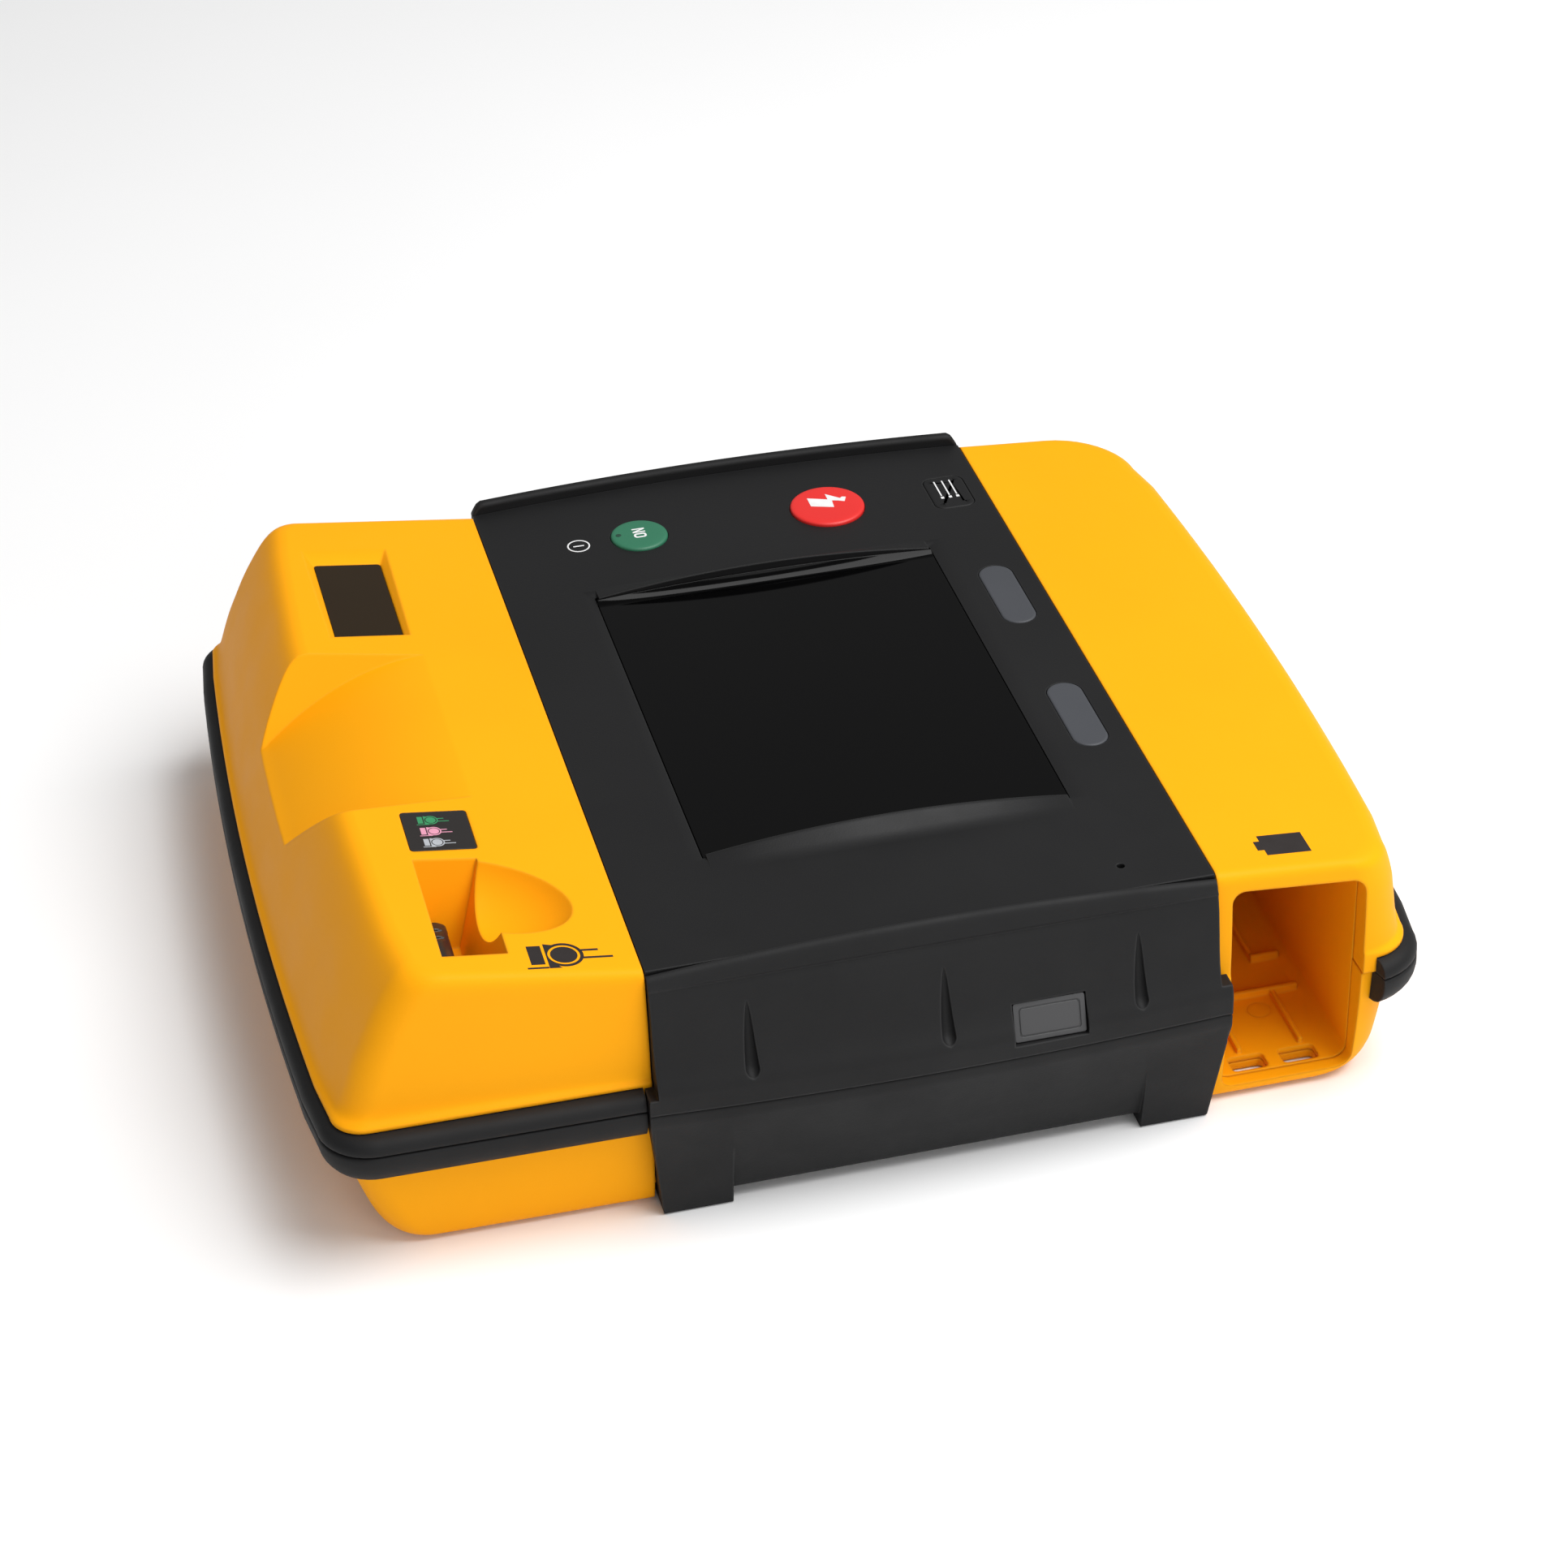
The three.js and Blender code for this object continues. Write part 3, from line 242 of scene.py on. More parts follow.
# -------- materials
class Nodes:
    """A small helper that lays out one material's node tree."""

    def __init__(self, name):
        self.material = bpy.data.materials.new(name)
        self.material.use_nodes = True
        self.tree = self.material.node_tree
        self.bsdf = self.tree.nodes["Principled BSDF"]
        self.coords = self.add("ShaderNodeTexCoord").outputs["Object"]

    def add(self, kind, inputs=None, **settings):
        """A new node with its constant inputs and its own settings."""
        node = self.tree.nodes.new(kind)
        for key, value in settings.items():
            setattr(node, key, value)
        for key, value in (inputs or {}).items():
            node.inputs[key].default_value = value
        return node

    def link(self, source, target):
        self.tree.links.new(source, target)

    def noise(self, scale, detail=3.0, roughness=0.55, stretch=None):
        node = self.add("ShaderNodeTexNoise",
                        {"Scale": scale, "Detail": detail, "Roughness": roughness})
        coords = self.coords
        if stretch:
            mapping = self.add("ShaderNodeMapping", {"Scale": stretch})
            self.link(coords, mapping.inputs["Vector"])
            coords = mapping.outputs["Vector"]
        self.link(coords, node.inputs["Vector"])
        return node.outputs["Fac"]

    def span(self, value, low, high, from_low=0.3, from_high=0.7):
        node = self.add("ShaderNodeMapRange", {
            "From Min": from_low, "From Max": from_high, "To Min": low, "To Max": high})
        self.link(value, node.inputs["Value"])
        return node.outputs["Result"]

    def mix(self, factor, a, b):
        node = self.add("ShaderNodeMix", data_type="RGBA")
        self.link(factor, node.inputs["Factor"])
        for socket, value in ((node.inputs["A"], a), (node.inputs["B"], b)):
            if isinstance(value, tuple):
                socket.default_value = (*value, 1.0)
            else:
                self.link(value, socket)
        return node.outputs["Result"]

    def drift(self, pattern, colour, shade):
        """Lets the colour fall to `shade` of itself where the pattern is low."""
        dark = tuple(c * shade for c in colour)
        drifting = self.mix(self.span(pattern, 0.0, 1.0), dark, colour)
        self.link(drifting, self.bsdf.inputs["Base Color"])

    def roughen(self, pattern, low, high):
        self.link(self.span(pattern, low, high), self.bsdf.inputs["Roughness"])

    def edge_mask(self, radius):
        """1 along edges, 0 on flats: where the rounded normal leaves the real one."""
        bevel = self.add("ShaderNodeBevel", {"Radius": radius}, samples=4)
        geometry = self.add("ShaderNodeNewGeometry")
        dot = self.add("ShaderNodeVectorMath", operation="DOT_PRODUCT")
        self.link(bevel.outputs["Normal"], dot.inputs[0])
        self.link(geometry.outputs["Normal"], dot.inputs[1])
        return self.span(dot.outputs["Value"], 1.0, 0.0, 0.86, 0.995)

    def surface(self, bumps, edge_radius):
        """Stacks bump layers given as (value, strength, distance) over rounded edges."""
        bevel = self.add("ShaderNodeBevel", {"Radius": edge_radius}, samples=6)
        normal = bevel.outputs["Normal"]
        for value, strength, distance in bumps:
            bump = self.add("ShaderNodeBump", {"Strength": strength, "Distance": distance})
            self.link(value, bump.inputs["Height"])
            self.link(normal, bump.inputs["Normal"])
            normal = bump.outputs["Normal"]
        self.link(normal, self.bsdf.inputs["Normal"])


def moulded(name, colour, rough, grain, grain_depth, edge_radius, edge_wear_and_highlight, tint=0.05, specular=0.5):
    """Moulded plastic or rubber: fine grain, colour drifting by `tint`, edges lighter by the amount
    after `edge_radius`, partly as wear and partly as a painted highlight.
    """
    n = Nodes(name)
    dark = tuple(c * (1 - tint) for c in colour)
    light = tuple(min(1.0, c * (1 + tint) + 0.001) for c in colour)
    body = n.mix(n.span(n.noise(14.0, 4.0), 0.0, 1.0), dark, light)
    # Painted highlight: every edge is lightened whatever the light, standing in for the bright rims
    # of rounded edges and partly for wear.
    rubbed_and_highlit = n.mix(n.edge_mask(0.0007), (0.0, 0.0, 0.0), (edge_wear_and_highlight, edge_wear_and_highlight, edge_wear_and_highlight))
    blend = n.add("ShaderNodeMix", data_type="RGBA", blend_type="ADD")
    blend.inputs["Factor"].default_value = 1.0
    n.link(body, blend.inputs["A"])
    n.link(rubbed_and_highlit, blend.inputs["B"])
    n.link(blend.outputs["Result"], n.bsdf.inputs["Base Color"])
    n.roughen(n.noise(55.0, 5.0), rough - 0.05, rough + 0.07)
    n.bsdf.inputs["Specular IOR Level"].default_value = specular
    n.surface([
        (n.noise(grain, 2.0, 0.6), 0.35, grain_depth),
        (n.noise(90.0, 2.0), 0.12, 0.00008),
    ], edge_radius)
    return n.material


def glossy(name, colour, rough, specular):
    """Polished window plastic with faint wipe marks in its gloss."""
    n = Nodes(name)
    n.drift(n.noise(9.0, 3.0), colour, 0.8)
    n.roughen(n.noise(30.0, 6.0, 0.7, stretch=(1.0, 0.25, 1.0)), rough, rough + 0.05)
    n.bsdf.inputs["Specular IOR Level"].default_value = specular
    n.surface([(n.noise(12.0, 2.0), 0.04, 0.0001)], 0.0003)
    return n.material


def metal(name, colour, rough):
    """Bare metal with fine tool marks in its colour, gloss and relief."""
    n = Nodes(name)
    lines = n.noise(700.0, 4.0, 0.6)
    n.drift(lines, colour, 0.85)
    n.roughen(lines, rough, rough + 0.15)
    n.bsdf.inputs["Metallic"].default_value = 1.0
    n.surface([(lines, 0.15, 0.00003)], 0.0002)
    return n.material


def ink(name, colour):
    """Printed ink: slightly uneven and a little glossier than the plastic under it."""
    n = Nodes(name)
    n.drift(n.noise(400.0, 3.0), colour, 0.9)
    n.roughen(n.noise(250.0, 3.0), 0.42, 0.55)
    n.surface([(n.noise(1500.0, 2.0), 0.1, 0.00002)], 0.00005)
    return n.material


# In each moulded look, the number after the edge radius lightens its edges: partly wear, partly a
# painted highlight.
MATERIALS = {
    "yellow": moulded(
        "yellow_plastic", (0.93, 0.375, 0.004), 0.46, 2300.0, 0.00007, 0.0011, 0.012, 0.02, 0.06),
    "panel": moulded(
        "panel_plastic", (0.0075, 0.0075, 0.0079), 0.5, 2600.0, 0.00007, 0.0005, 0.012, 0.05, 0.22),
    "rubber": moulded(
        "grip_rubber", (0.0065, 0.0065, 0.0069), 0.62, 1900.0, 0.00009, 0.0009, 0.022, 0.05, 0.25),
    "key_grey": moulded("key_grey", (0.045, 0.048, 0.056), 0.55, 2600.0, 0.00005, 0.0005, 0.01),
    "key_green": moulded("key_green", (0.020, 0.148, 0.078), 0.45, 2600.0, 0.00004, 0.0004, 0.01),
    "key_red": moulded("key_red", (0.68, 0.018, 0.015), 0.42, 2600.0, 0.00004, 0.0004, 0.01),
    "gloss_black": moulded(
        "connector_shell", (0.011, 0.011, 0.012), 0.24, 2600.0, 0.00003, 0.0006, 0.01),
    "label": moulded("label_film", (0.012, 0.009, 0.008), 0.35, 3000.0, 0.00002, 0.0002, 0.005),
    "glass": glossy("screen_glass", (0.0007, 0.0007, 0.0008), 0.05, 0.12),
    "smoked": glossy("smoked_window", (0.024, 0.014, 0.005), 0.06, 0.14),
    "grey_window": glossy("grey_window", (0.055, 0.055, 0.057), 0.32, 0.4),
    "board": moulded(
        "circuit_board", (0.012, 0.085, 0.03), 0.4, 900.0, 0.00008, 0.0002, 0.02, 0.2),
    "steel": metal("steel", (0.52, 0.53, 0.55), 0.28),
    "brass": metal("brass", (0.72, 0.5, 0.2), 0.22),
    "winding": moulded("winding", (0.33, 0.12, 0.045), 0.4, 700.0, 0.0002, 0.0003, 0.03, 0.2),
    "capacitor": moulded(
        "capacitor_sleeve", (0.012, 0.04, 0.16), 0.3, 500.0, 0.00004, 0.0006, 0.01),
    "relay": moulded("relay_housing", (0.66, 0.64, 0.58), 0.45, 1500.0, 0.00005, 0.0005, 0.0),
    "ink_black": ink("ink_black", (0.013, 0.008, 0.007)),
    "ink_dark": ink("ink_dark", (0.008, 0.05, 0.03)),
    "ink_white": ink("ink_white", (0.8, 0.8, 0.8)),
    "ink_green": ink("ink_green", (0.03, 0.26, 0.10)),
    "ink_pink": ink("ink_pink", (0.72, 0.30, 0.42)),
    "ink_grey": ink("ink_grey", (0.42, 0.44, 0.47)),
}


def dress(obj, look, body=BODY, replaces=(), sharp=32.0):
    """Shading, material and frame bookkeeping for one finished piece."""
    mesh = obj.data
    mesh.materials.clear()
    mesh.materials.append(MATERIALS[look])
    for polygon in mesh.polygons:
        polygon.use_smooth = True
    mesh.set_sharp_from_angle(angle=math.radians(sharp))
    weighted = obj.modifiers.new("even_normals", "WEIGHTED_NORMAL")
    weighted.keep_sharp = True
    weighted.weight = 80
    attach(obj, body)
    if replaces:
        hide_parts(*replaces)
    return obj


# -------- outline of the case
def top_height(x):
    """The top of the case: level at the panel, sloping on both sides of it."""
    if x < PANEL_LEFT:
        return PANEL_Z + LEFT_RISE * (PANEL_LEFT - x)
    if x > PANEL_RIGHT:
        return PANEL_Z - RIGHT_FALL * (x - PANEL_RIGHT)
    return PANEL_Z


def bow(y):
    """How far a side has come in from its widest place at y = 0."""
    return SIDE_BOW * (y / HALF_DEPTH) ** 2


def plan(left, right, half, shrink=0.0, setback=0.0):
    """The plan of the case at one level, counter-clockwise from its near left corner."""
    near_left, far_left, near_right, far_right = (
        max(radius - shrink, 4.0)
        for radius in (NEAR_LEFT_CORNER, FAR_LEFT_CORNER, NEAR_RIGHT_CORNER, FAR_RIGHT_CORNER))
    near_end = -half + setback
    left_end, right_end = left + bow(half), right - bow(half)

    def side(x, sign, from_y, to_y):
        ys = [from_y + (to_y - from_y) * (i + 1) / (BOW_STEPS + 1) for i in range(BOW_STEPS)]
        return [(x + sign * bow(y), y) for y in ys]

    return [
        *arc(left_end + near_left, near_end + near_left, near_left, 180),
        (PANEL_LEFT, -half), (PANEL_RIGHT, -half),
        *arc(right_end - near_right, -half + near_right, near_right, 270),
        *side(right, -1, -half + near_right, half - far_right),
        *arc(right_end - far_right, half - far_right, far_right, 0),
        (PANEL_RIGHT, half), (PANEL_LEFT, half),
        *arc(left_end + far_left, half - far_left, far_left, 90),
        *side(left, 1, half - far_left, near_end + near_left),
    ]


def level_z(z, x, drop):
    """Levels above LEVEL_SPLIT follow the sloping top, lowered by `drop`."""
    if z <= LEVEL_SPLIT:
        return z
    share = (z - LEVEL_SPLIT) / (CROWN_Z - LEVEL_SPLIT)
    return LEVEL_SPLIT + share * (top_height(x) - drop - LEVEL_SPLIT)


def smooth_levels(levels, steps, keep=0):
    """Extra levels on a smooth curve through the given ones; the first `keep` stay straight."""
    out = []
    for i in range(len(levels) - 1):
        a, b = levels[i], levels[i + 1]
        before = levels[i - 1] if i > keep else a
        after = levels[i + 2] if i + 2 < len(levels) else b
        count = 1 if i < keep else steps
        for k in range(count):
            t = k / count
            out.append(tuple(
                q + 0.5 * t * (s - p + t * (2 * p - 5 * q + 4 * s - r + t * (3 * (q - s) + r - p)))
                for p, q, s, r in zip(before, a, b, after)
            ))
    out.append(levels[-1])
    return out


def shell(name, levels, inset=0.0, drop=0.0):
    rings = []
    for z, left, right, half, back in levels:
        ring = plan(left + inset, right - inset, half - inset, inset, back)
        rings.append([(x, y, level_z(z, x, drop)) for x, y in ring])
    return loft(name, rings, (PANEL_LEFT, PANEL_RIGHT))


# Case levels, low to high: z, left edge, right edge, half depth, setback of the near left corner.
UPPER_LEVELS = [
    (SPLIT_Z + SPLIT_HALF, -135.2, 134.6, 109.0, 0.8),
    (39.3, -135.2, 134.6, 109.0, 0.8),
    (39.8, -134.8, 134.2, 108.8, 1.3),
    (40.4, -133.8, 133.2, 108.45, 2.2),
    (42.2, -132.7, 132.8, 108.3, 2.6),
    (46.0, -131.4, 132.2, 108.2, 2.6),
    (51.0, -129.6, 131.6, 108.0, 2.6),
    (LEVEL_SPLIT, -127.4, 131.0, 107.7, 2.6),
    (62.0, -124.4, 130.4, 107.4, 2.6),
    (68.0, -120.9, 129.6, 107.0, 2.6),
    (72.0, -118.2, 128.8, 106.7, 2.6),
    (74.4, -116.0, 127.6, 106.2, 2.6),
    (75.7, -113.9, 126.2, 105.3, 2.6),
    (CROWN_Z, -111.6, 124.4, 103.9, 2.6),
]
LOWER_LEVELS = [
    (0.4, -114.0, 115.0, 101.0, 0.8),
    (0.9, -118.4, 120.0, 103.4, 0.8),
    (2.0, -121.9, 124.0, 104.8, 0.8),
    (4.0, -124.2, 126.8, 105.5, 0.8),
    (8.0, -126.6, 128.8, 106.2, 0.8),
    (14.0, -128.8, 129.9, 106.9, 0.8),
    (24.0, -131.6, 131.0, 107.8, 0.8),
    (SPLIT_Z - SPLIT_HALF, -132.6, 131.6, 108.2, 0.8),
]
CORE_HALF = HALF_DEPTH + 1 - SLEEVE
UPPER_CORE = [
    (z, left - 5, right + 5, min(half - SLEEVE, CORE_HALF), 0.0)
    for z, left, right, half, _ in UPPER_LEVELS
]
LOWER_CORE = [
    (PANEL_THICK + 0.7, -130.0, 130.0, 101.5, 0.0),
    (5.2, -130.0, 130.0, 103.6, 0.0),
    (8.0, -130.0, 130.0, CORE_HALF, 0.0),
    (SPLIT_Z + SPLIT_HALF, -130.0, 130.0, CORE_HALF, 0.0),
]
CAVITY_UPPER = [
    (SPLIT_Z - 1, -133.9, 133.2, 108.4, 0.0),
    (46.0, -131.4, 132.2, 108.2, 0.0),
    (LEVEL_SPLIT, -127.4, 131.0, 107.7, 0.0),
    (68.0, -120.4, 129.4, 106.8, 0.0),
    (CROWN_Z, -113.0, 125.0, 104.6, 0.0),
]
CAVITY_LOWER = [
    (FLOOR_Z, -118.0, 120.0, 103.4, 0.0),
    (8.0, -126.0, 128.0, 105.6, 0.0),
    (24.0, -131.0, 130.6, 107.4, 0.0),
    (SPLIT_Z + 1, -132.6, 131.6, 108.2, 0.0),
]

# -------- bumper path
BUMPER_BASE = dict(left=-133.4, right=133.4, half=108.2, setback=0.8)
BUMPER_OUT, BUMPER_TOP, BUMPER_BOTTOM = 5.05, 38.2, 25.2
SEAT_GAP = 0.2
LIP_LEFT, LIP_RIGHT = -59.0, 81.6  # ends of the rubber grips


def bumper_path(end, start_x, end_x):
    """The bumper's line round one end, as (x, y, outward x, outward y)."""
    half = BUMPER_BASE["half"]
    ring = plan(**BUMPER_BASE)
    if end == "left":
        points = sorted((p for p in ring if p[0] < -100), key=lambda p: -math.atan2(p[1], -p[0]))
        points = [(start_x, half), *points, (end_x, -half)]
    else:
        points = sorted((p for p in ring if p[0] > 100), key=lambda p: math.atan2(p[1], p[0]))
        points = [p for p in points if p[1] > -60 or p[0] > start_x] + [(end_x, half)]
    path = []
    for i, (x, y) in enumerate(points):
        ax, ay = points[max(i - 1, 0)]
        bx, by = points[min(i + 1, len(points) - 1)]
        size = math.hypot(bx - ax, by - ay)
        path.append((x, y, (by - ay) / size, -(bx - ax) / size))
    return path


BUMPER_PATHS = {
    "left": bumper_path("left", LIP_LEFT - GAP, LIP_LEFT - GAP),
    "right": bumper_path("right", 119.0, LIP_RIGHT + GAP),
}


def sweep(name, path, section):
    sections = [[(x + nx * out, y + ny * out, z) for out, z in section] for x, y, nx, ny in path]
    return strip(name, sections)


def seats():
    """Tools that cut the bumpers' channel into the case."""
    section = rect(-2.4, 9, BUMPER_BOTTOM - SEAT_GAP, BUMPER_TOP + SEAT_GAP)
    return [sweep("seat", path, section) for path in BUMPER_PATHS.values()]


# -------- battery bay
BAY = Sizes(x0=83.1, x1=116.5, z0=4.2, z1=63.4, y0=-107.6, y1=40.0)
BAY_WALL = 1.5
BAY_SLOTS = (88.2, 101.2)
SLOT_WIDTH, SLOT_Y = 9.2, (-100.6, -95.2)
LINER_START = -101.5  # nearer than this, the case itself forms the mouth


def bay_outline(grow):
    outline = grown_rect((BAY.x0, BAY.x1, BAY.z0, BAY.z1), grow, 3.5 + grow, 8)
    mid = (BAY.z0 + BAY.z1) / 2
    return [(x, z - RIGHT_FALL * (x - BAY.x0) if z > mid else z) for x, z in outline]


def bay_hole():
    """The mouth matches the liner's inside; further in the hole takes the liner's outside."""
    back = BAY.y1 + BAY_WALL + GAP
    deep = prism("bay_hole", "y", bay_outline(BAY_WALL + GAP), LINER_START - GAP, back)
    return join(deep, prism("bay_mouth", "y", bay_outline(0), -130, LINER_START + 1))


def slot_cutters():
    outlines = [rounded_rect(x, x + SLOT_WIDTH, *SLOT_Y, 1.2) for x in BAY_SLOTS]
    return [prism("slot", "z", outline, -2, BAY.z0 + 3) for outline in outlines]


# -------- display block details
SADDLE = Sizes(wall_far=37.8, wall_near=-34.3, floor_far=28.0, floor_near=-19.4, floor_z=60.0,
               start_x=-82.0, edge_x=-125.0, drop=14.2)
WINDOW = (-103.0, -85.5, 46.6, 84.6)  # as x0, x1, y0, y1
POCKET = Sizes(x0=-101.0, x1=-85.0, y0=-95.5, y1=-56.0, z=52.0, far_foot=-62.5, right_foot=-92.5,
               slope_top=76, open_top=90)
SCOOP = Sizes(centre=(-86.0, -72.8, 80.0), radii=(22.4, 16.2, 17.0), slant=-0.28)
LABEL = (-100.7, -85.1, -52.8, -36.6)
LABEL_THICK = 0.5
SOCKET = Sizes(x0=-108.0, x1=-95.6, y0=-93.6, y1=-65.4, z0=52.6, z1=62.6)


def saddle_cutter(sink):
    """The valley between the two raised blocks: a curved floor between two sloped walls."""
    s = SADDLE
    start_z = top_height(s.start_x) - sink
    floor = []
    for share in stations(0, 1, 41):
        x = s.start_x + (s.edge_x - s.start_x) * share
        floor.append((x, start_z - s.drop * share ** 2))
    lip = s.edge_x - 16  # past the end of the case
    profile = [(s.start_x, 84), *floor, (lip, start_z - s.drop * 1.6), (lip, 84)]
    slope = CROWN_Z - s.floor_z
    far_slant = (s.wall_far - s.floor_far) / slope
    near_slant = (s.floor_near - s.wall_near) / slope
    wedge = prism("wedge", "x", [
        (s.floor_near - sink + near_slant * 10, s.floor_z - 10),
        (s.floor_far + sink - far_slant * 10, s.floor_z - 10),
        (s.wall_far + sink + far_slant * 9, CROWN_Z + 9),
        (s.wall_near - sink - near_slant * 9, CROWN_Z + 9),
    ], lip - 1, PANEL_LEFT + 1)
    return intersect(prism("saddle", "y", profile, -80, 80), wedge)


def pocket_solid(grow):
    """The connector pocket: upright on two sides, sloping outwards on the other two."""
    p = POCKET

    def profile(low, foot, high):
        floor = p.z - grow
        return [(low - grow, floor), (foot + grow, floor), (high + grow, p.slope_top),
                (high + grow, p.open_top), (low - grow, p.open_top)]

    side = prism("pocket", "x", profile(p.y0, p.far_foot, p.y1), -130, -60)
    end = prism("pocket_end", "y", profile(p.x0, p.right_foot, p.x1), -120, -40)
    return intersect(side, end)


def ellipsoid(name, centre, radii, segments=48, rows=32):
    """Rings of points from pole to pole, closed by a fan at each pole."""
    verts = []
    for polar in (math.pi * r / rows for r in range(1, rows)):
        for px, py in circle(0, 0, 1, segments):
            unit = (math.sin(polar) * px, math.sin(polar) * py, math.cos(polar))
            verts.append(tuple(c + k * u for c, k, u in zip(centre, radii, unit)))
    top, bottom, last = len(verts), len(verts) + 1, len(verts) - segments
    verts += [(*centre[:2], centre[2] + radii[2]), (*centre[:2], centre[2] - radii[2])]
    faces = side_quads(segments, rows - 1, turned_over=True)
    for s in range(segments):
        t = (s + 1) % segments
        faces += [(top, s, t), (bottom, last + t, last + s)]
    obj = mesh_object(name, verts, faces)
    fix_outside(obj)
    return obj


def scoop_solid(grow):
    """The finger scoop: the right half of a bowl, slanted in plan."""
    cx, cy, cz = SCOOP.centre
    bowl = ellipsoid("scoop", (cx, cy, cz), tuple(r + grow for r in SCOOP.radii))
    for vertex in bowl.data.vertices:
        vertex.co.y += SCOOP.slant * (vertex.co.x - cx * MM)
    return intersect(bowl, block("half", cx - 4 - grow, 0, -140, 0, 0, 120))


def sloped_plate(name, outline, low, high):
    """A plate of given depth range against the sloped top of the display block."""
    left, right = -125.0, PANEL_LEFT - 8
    corners = [(left, low), (right, low), (right, high), (left, high)]
    slab = prism("slab", "y", [(x, top_height(x) + lift) for x, lift in corners], -120, 120)
    return intersect(prism(name, "z", outline, 40, 100), slab)


def window_outline(grow):
    return grown_rect(WINDOW, grow, max(1.0 + grow, 0.4))


def label_outline(grow):
    return grown_rect(LABEL, grow, 0.8 + grow)


def window_chamfer():
    """The bevelled surround of the readiness window: widest along its far edge."""
    x0, x1, y0, y1 = WINDOW
    high = [(x0 - 1.6, y0 - 1.4), (x1 + 1.6, y0 - 1.4), (x1 + 2.4, y1 + 5.4), (x0 - 2.4, y1 + 5.4)]
    rings = ((rect(*WINDOW), -1.8), (high, 0.12))
    return loft("chamfer", [[(x, y, top_height(x) + up) for x, y in ring] for ring, up in rings])


# -------- case halves
SCREW_PLACES = ((-112, -84), (-112, 84), (-44, -84), (-44, 84), (60, -84), (108, 84))
SPEAKER = (40.0, 40.0)
IRDA = Sizes(x0=27.8, x1=45.2, z0=37.6, z1=46.8)
MIC_PLACE, MIC_RADIUS = (59.1, -96.3), 1.0


def screen_block(name, grow, heights):
    s = SCREEN
    return block(name, s.x0 - grow, s.x1 + grow, s.y0 - grow, s.y1 + grow, *heights)


def infrared_block(grow, y0, y1):
    w = IRDA
    return block("infrared", w.x0 - grow, w.x1 + grow, y0, y1, w.z0 - grow, w.z1 + grow)


def black_band(z0, z1):
    """The zone across the case that the panel and grips cover."""
    return block("band", PANEL_LEFT - GAP, PANEL_RIGHT + GAP, -BEYOND, BEYOND, z0, z1)


def front_case():
    s, p = SOCKET, POCKET
    sleeve = cut(black_band(SPLIT_Z, 100), shell("core", UPPER_CORE, drop=PANEL_THICK + GAP))
    cavity = cut(
        shell("cavity", CAVITY_UPPER, WALL, WALL),
        saddle_cutter(2.6),
        intersect(pocket_solid(3.2), block("low", -130, 0, -BEYOND, 0, p.z - 3.2, 100)),
        scoop_solid(2.8),
        block("housing", s.x0 - 3, p.x0, s.y0 - 3, s.y1 + 3, s.z0 - 3, 100),
        sloped_plate("frame", window_outline(2.5), -7.8, 0),
    )
    mouth = block("mouth", s.x0 - GAP, p.x0 + 1, s.y0 - GAP, s.y1 + GAP,
                  s.z0 - GAP, s.z1 + GAP)
    return cut(
        shell("front_case_shell", smooth_levels(UPPER_LEVELS, 3, 2)),
        cavity,
        sleeve,
        *seats(),
        bay_hole(),
        saddle_cutter(0),
        pocket_solid(0),
        scoop_solid(0),
        mouth,
        window_chamfer(),
        sloped_plate("sill", window_outline(0), -3.4, 2),
        sloped_plate("shaft", window_outline(-2), -12, 2),
        sloped_plate("label_seat", label_outline(0.2), -LABEL_THICK, 2),
        screen_block("screen", 2, THROUGH_CASE),
        block("keys", -30, 77, 70, 98, *THROUGH_CASE),
        block("softkeys", 62, 76.5, -50, 70.5, *THROUGH_CASE),
        prism("mic", "z", circle(*MIC_PLACE, 2.4, 24), *THROUGH_CASE),
        infrared_block(-1, -110, -90),
    )


def rear_case():
    keep = block("keep", -BEYOND, BEYOND, -90, 90, -5, 40)
    sleeve = cut(black_band(-5, SPLIT_Z), shell("core", LOWER_CORE), keep)
    grille, screws, bosses = [], [], []
    for step in (-2, -1, 0, 1, 2):
        x, y = SPEAKER[0] + step * 7, SPEAKER[1]
        reach = 14 - abs(step) * 3
        outline = rounded_rect(x - 1.3, x + 1.3, y - reach, y + reach, 1.2, 5)
        grille.append(prism("grille", "z", outline, -2, 8))
    for x, y in SCREW_PLACES:
        screws.append(prism("hole", "z", circle(x, y, 1.9, 24), -2, 40))
        screws.append(prism("recess", "z", circle(x, y, 3.7, 32), -2, 5.4))
        bosses.append(prism("boss", "z", circle(x, y, 5.2, 32), 2, SPLIT_Z - SPLIT_HALF))
    outside = shell("rear_case_shell", smooth_levels(LOWER_LEVELS, 3))
    body = join(cut(outside, shell("cavity", CAVITY_LOWER, WALL)), *bosses)
    return cut(body, sleeve, *seats(), bay_hole(), *slot_cutters(), *grille, *screws)


dress(front_case(), "yellow", replaces=("front_case",))
dress(rear_case(), "yellow", replaces=("rear_case",))


# -------- control panel
def camber(x):
    """1 at the panel's middle, falling to 0 at its ends."""
    return 1 - min(1.0, abs((x - PANEL_MID) / PANEL_HALF)) ** 2


def far_edge(x):
    return PANEL_FAR + PANEL_FAR_BOW * camber(x)


def ribbon(name, xs, section_at):
    """A body along x, with its (y, z) section given at each x."""
    return strip(name, [[(x, y, z) for y, z in section_at(x)] for x in xs])


def screen_arch(x):
    return max(0.0, 1 - ((x - SCREEN_MID) / SCREEN_HALF) ** 2)


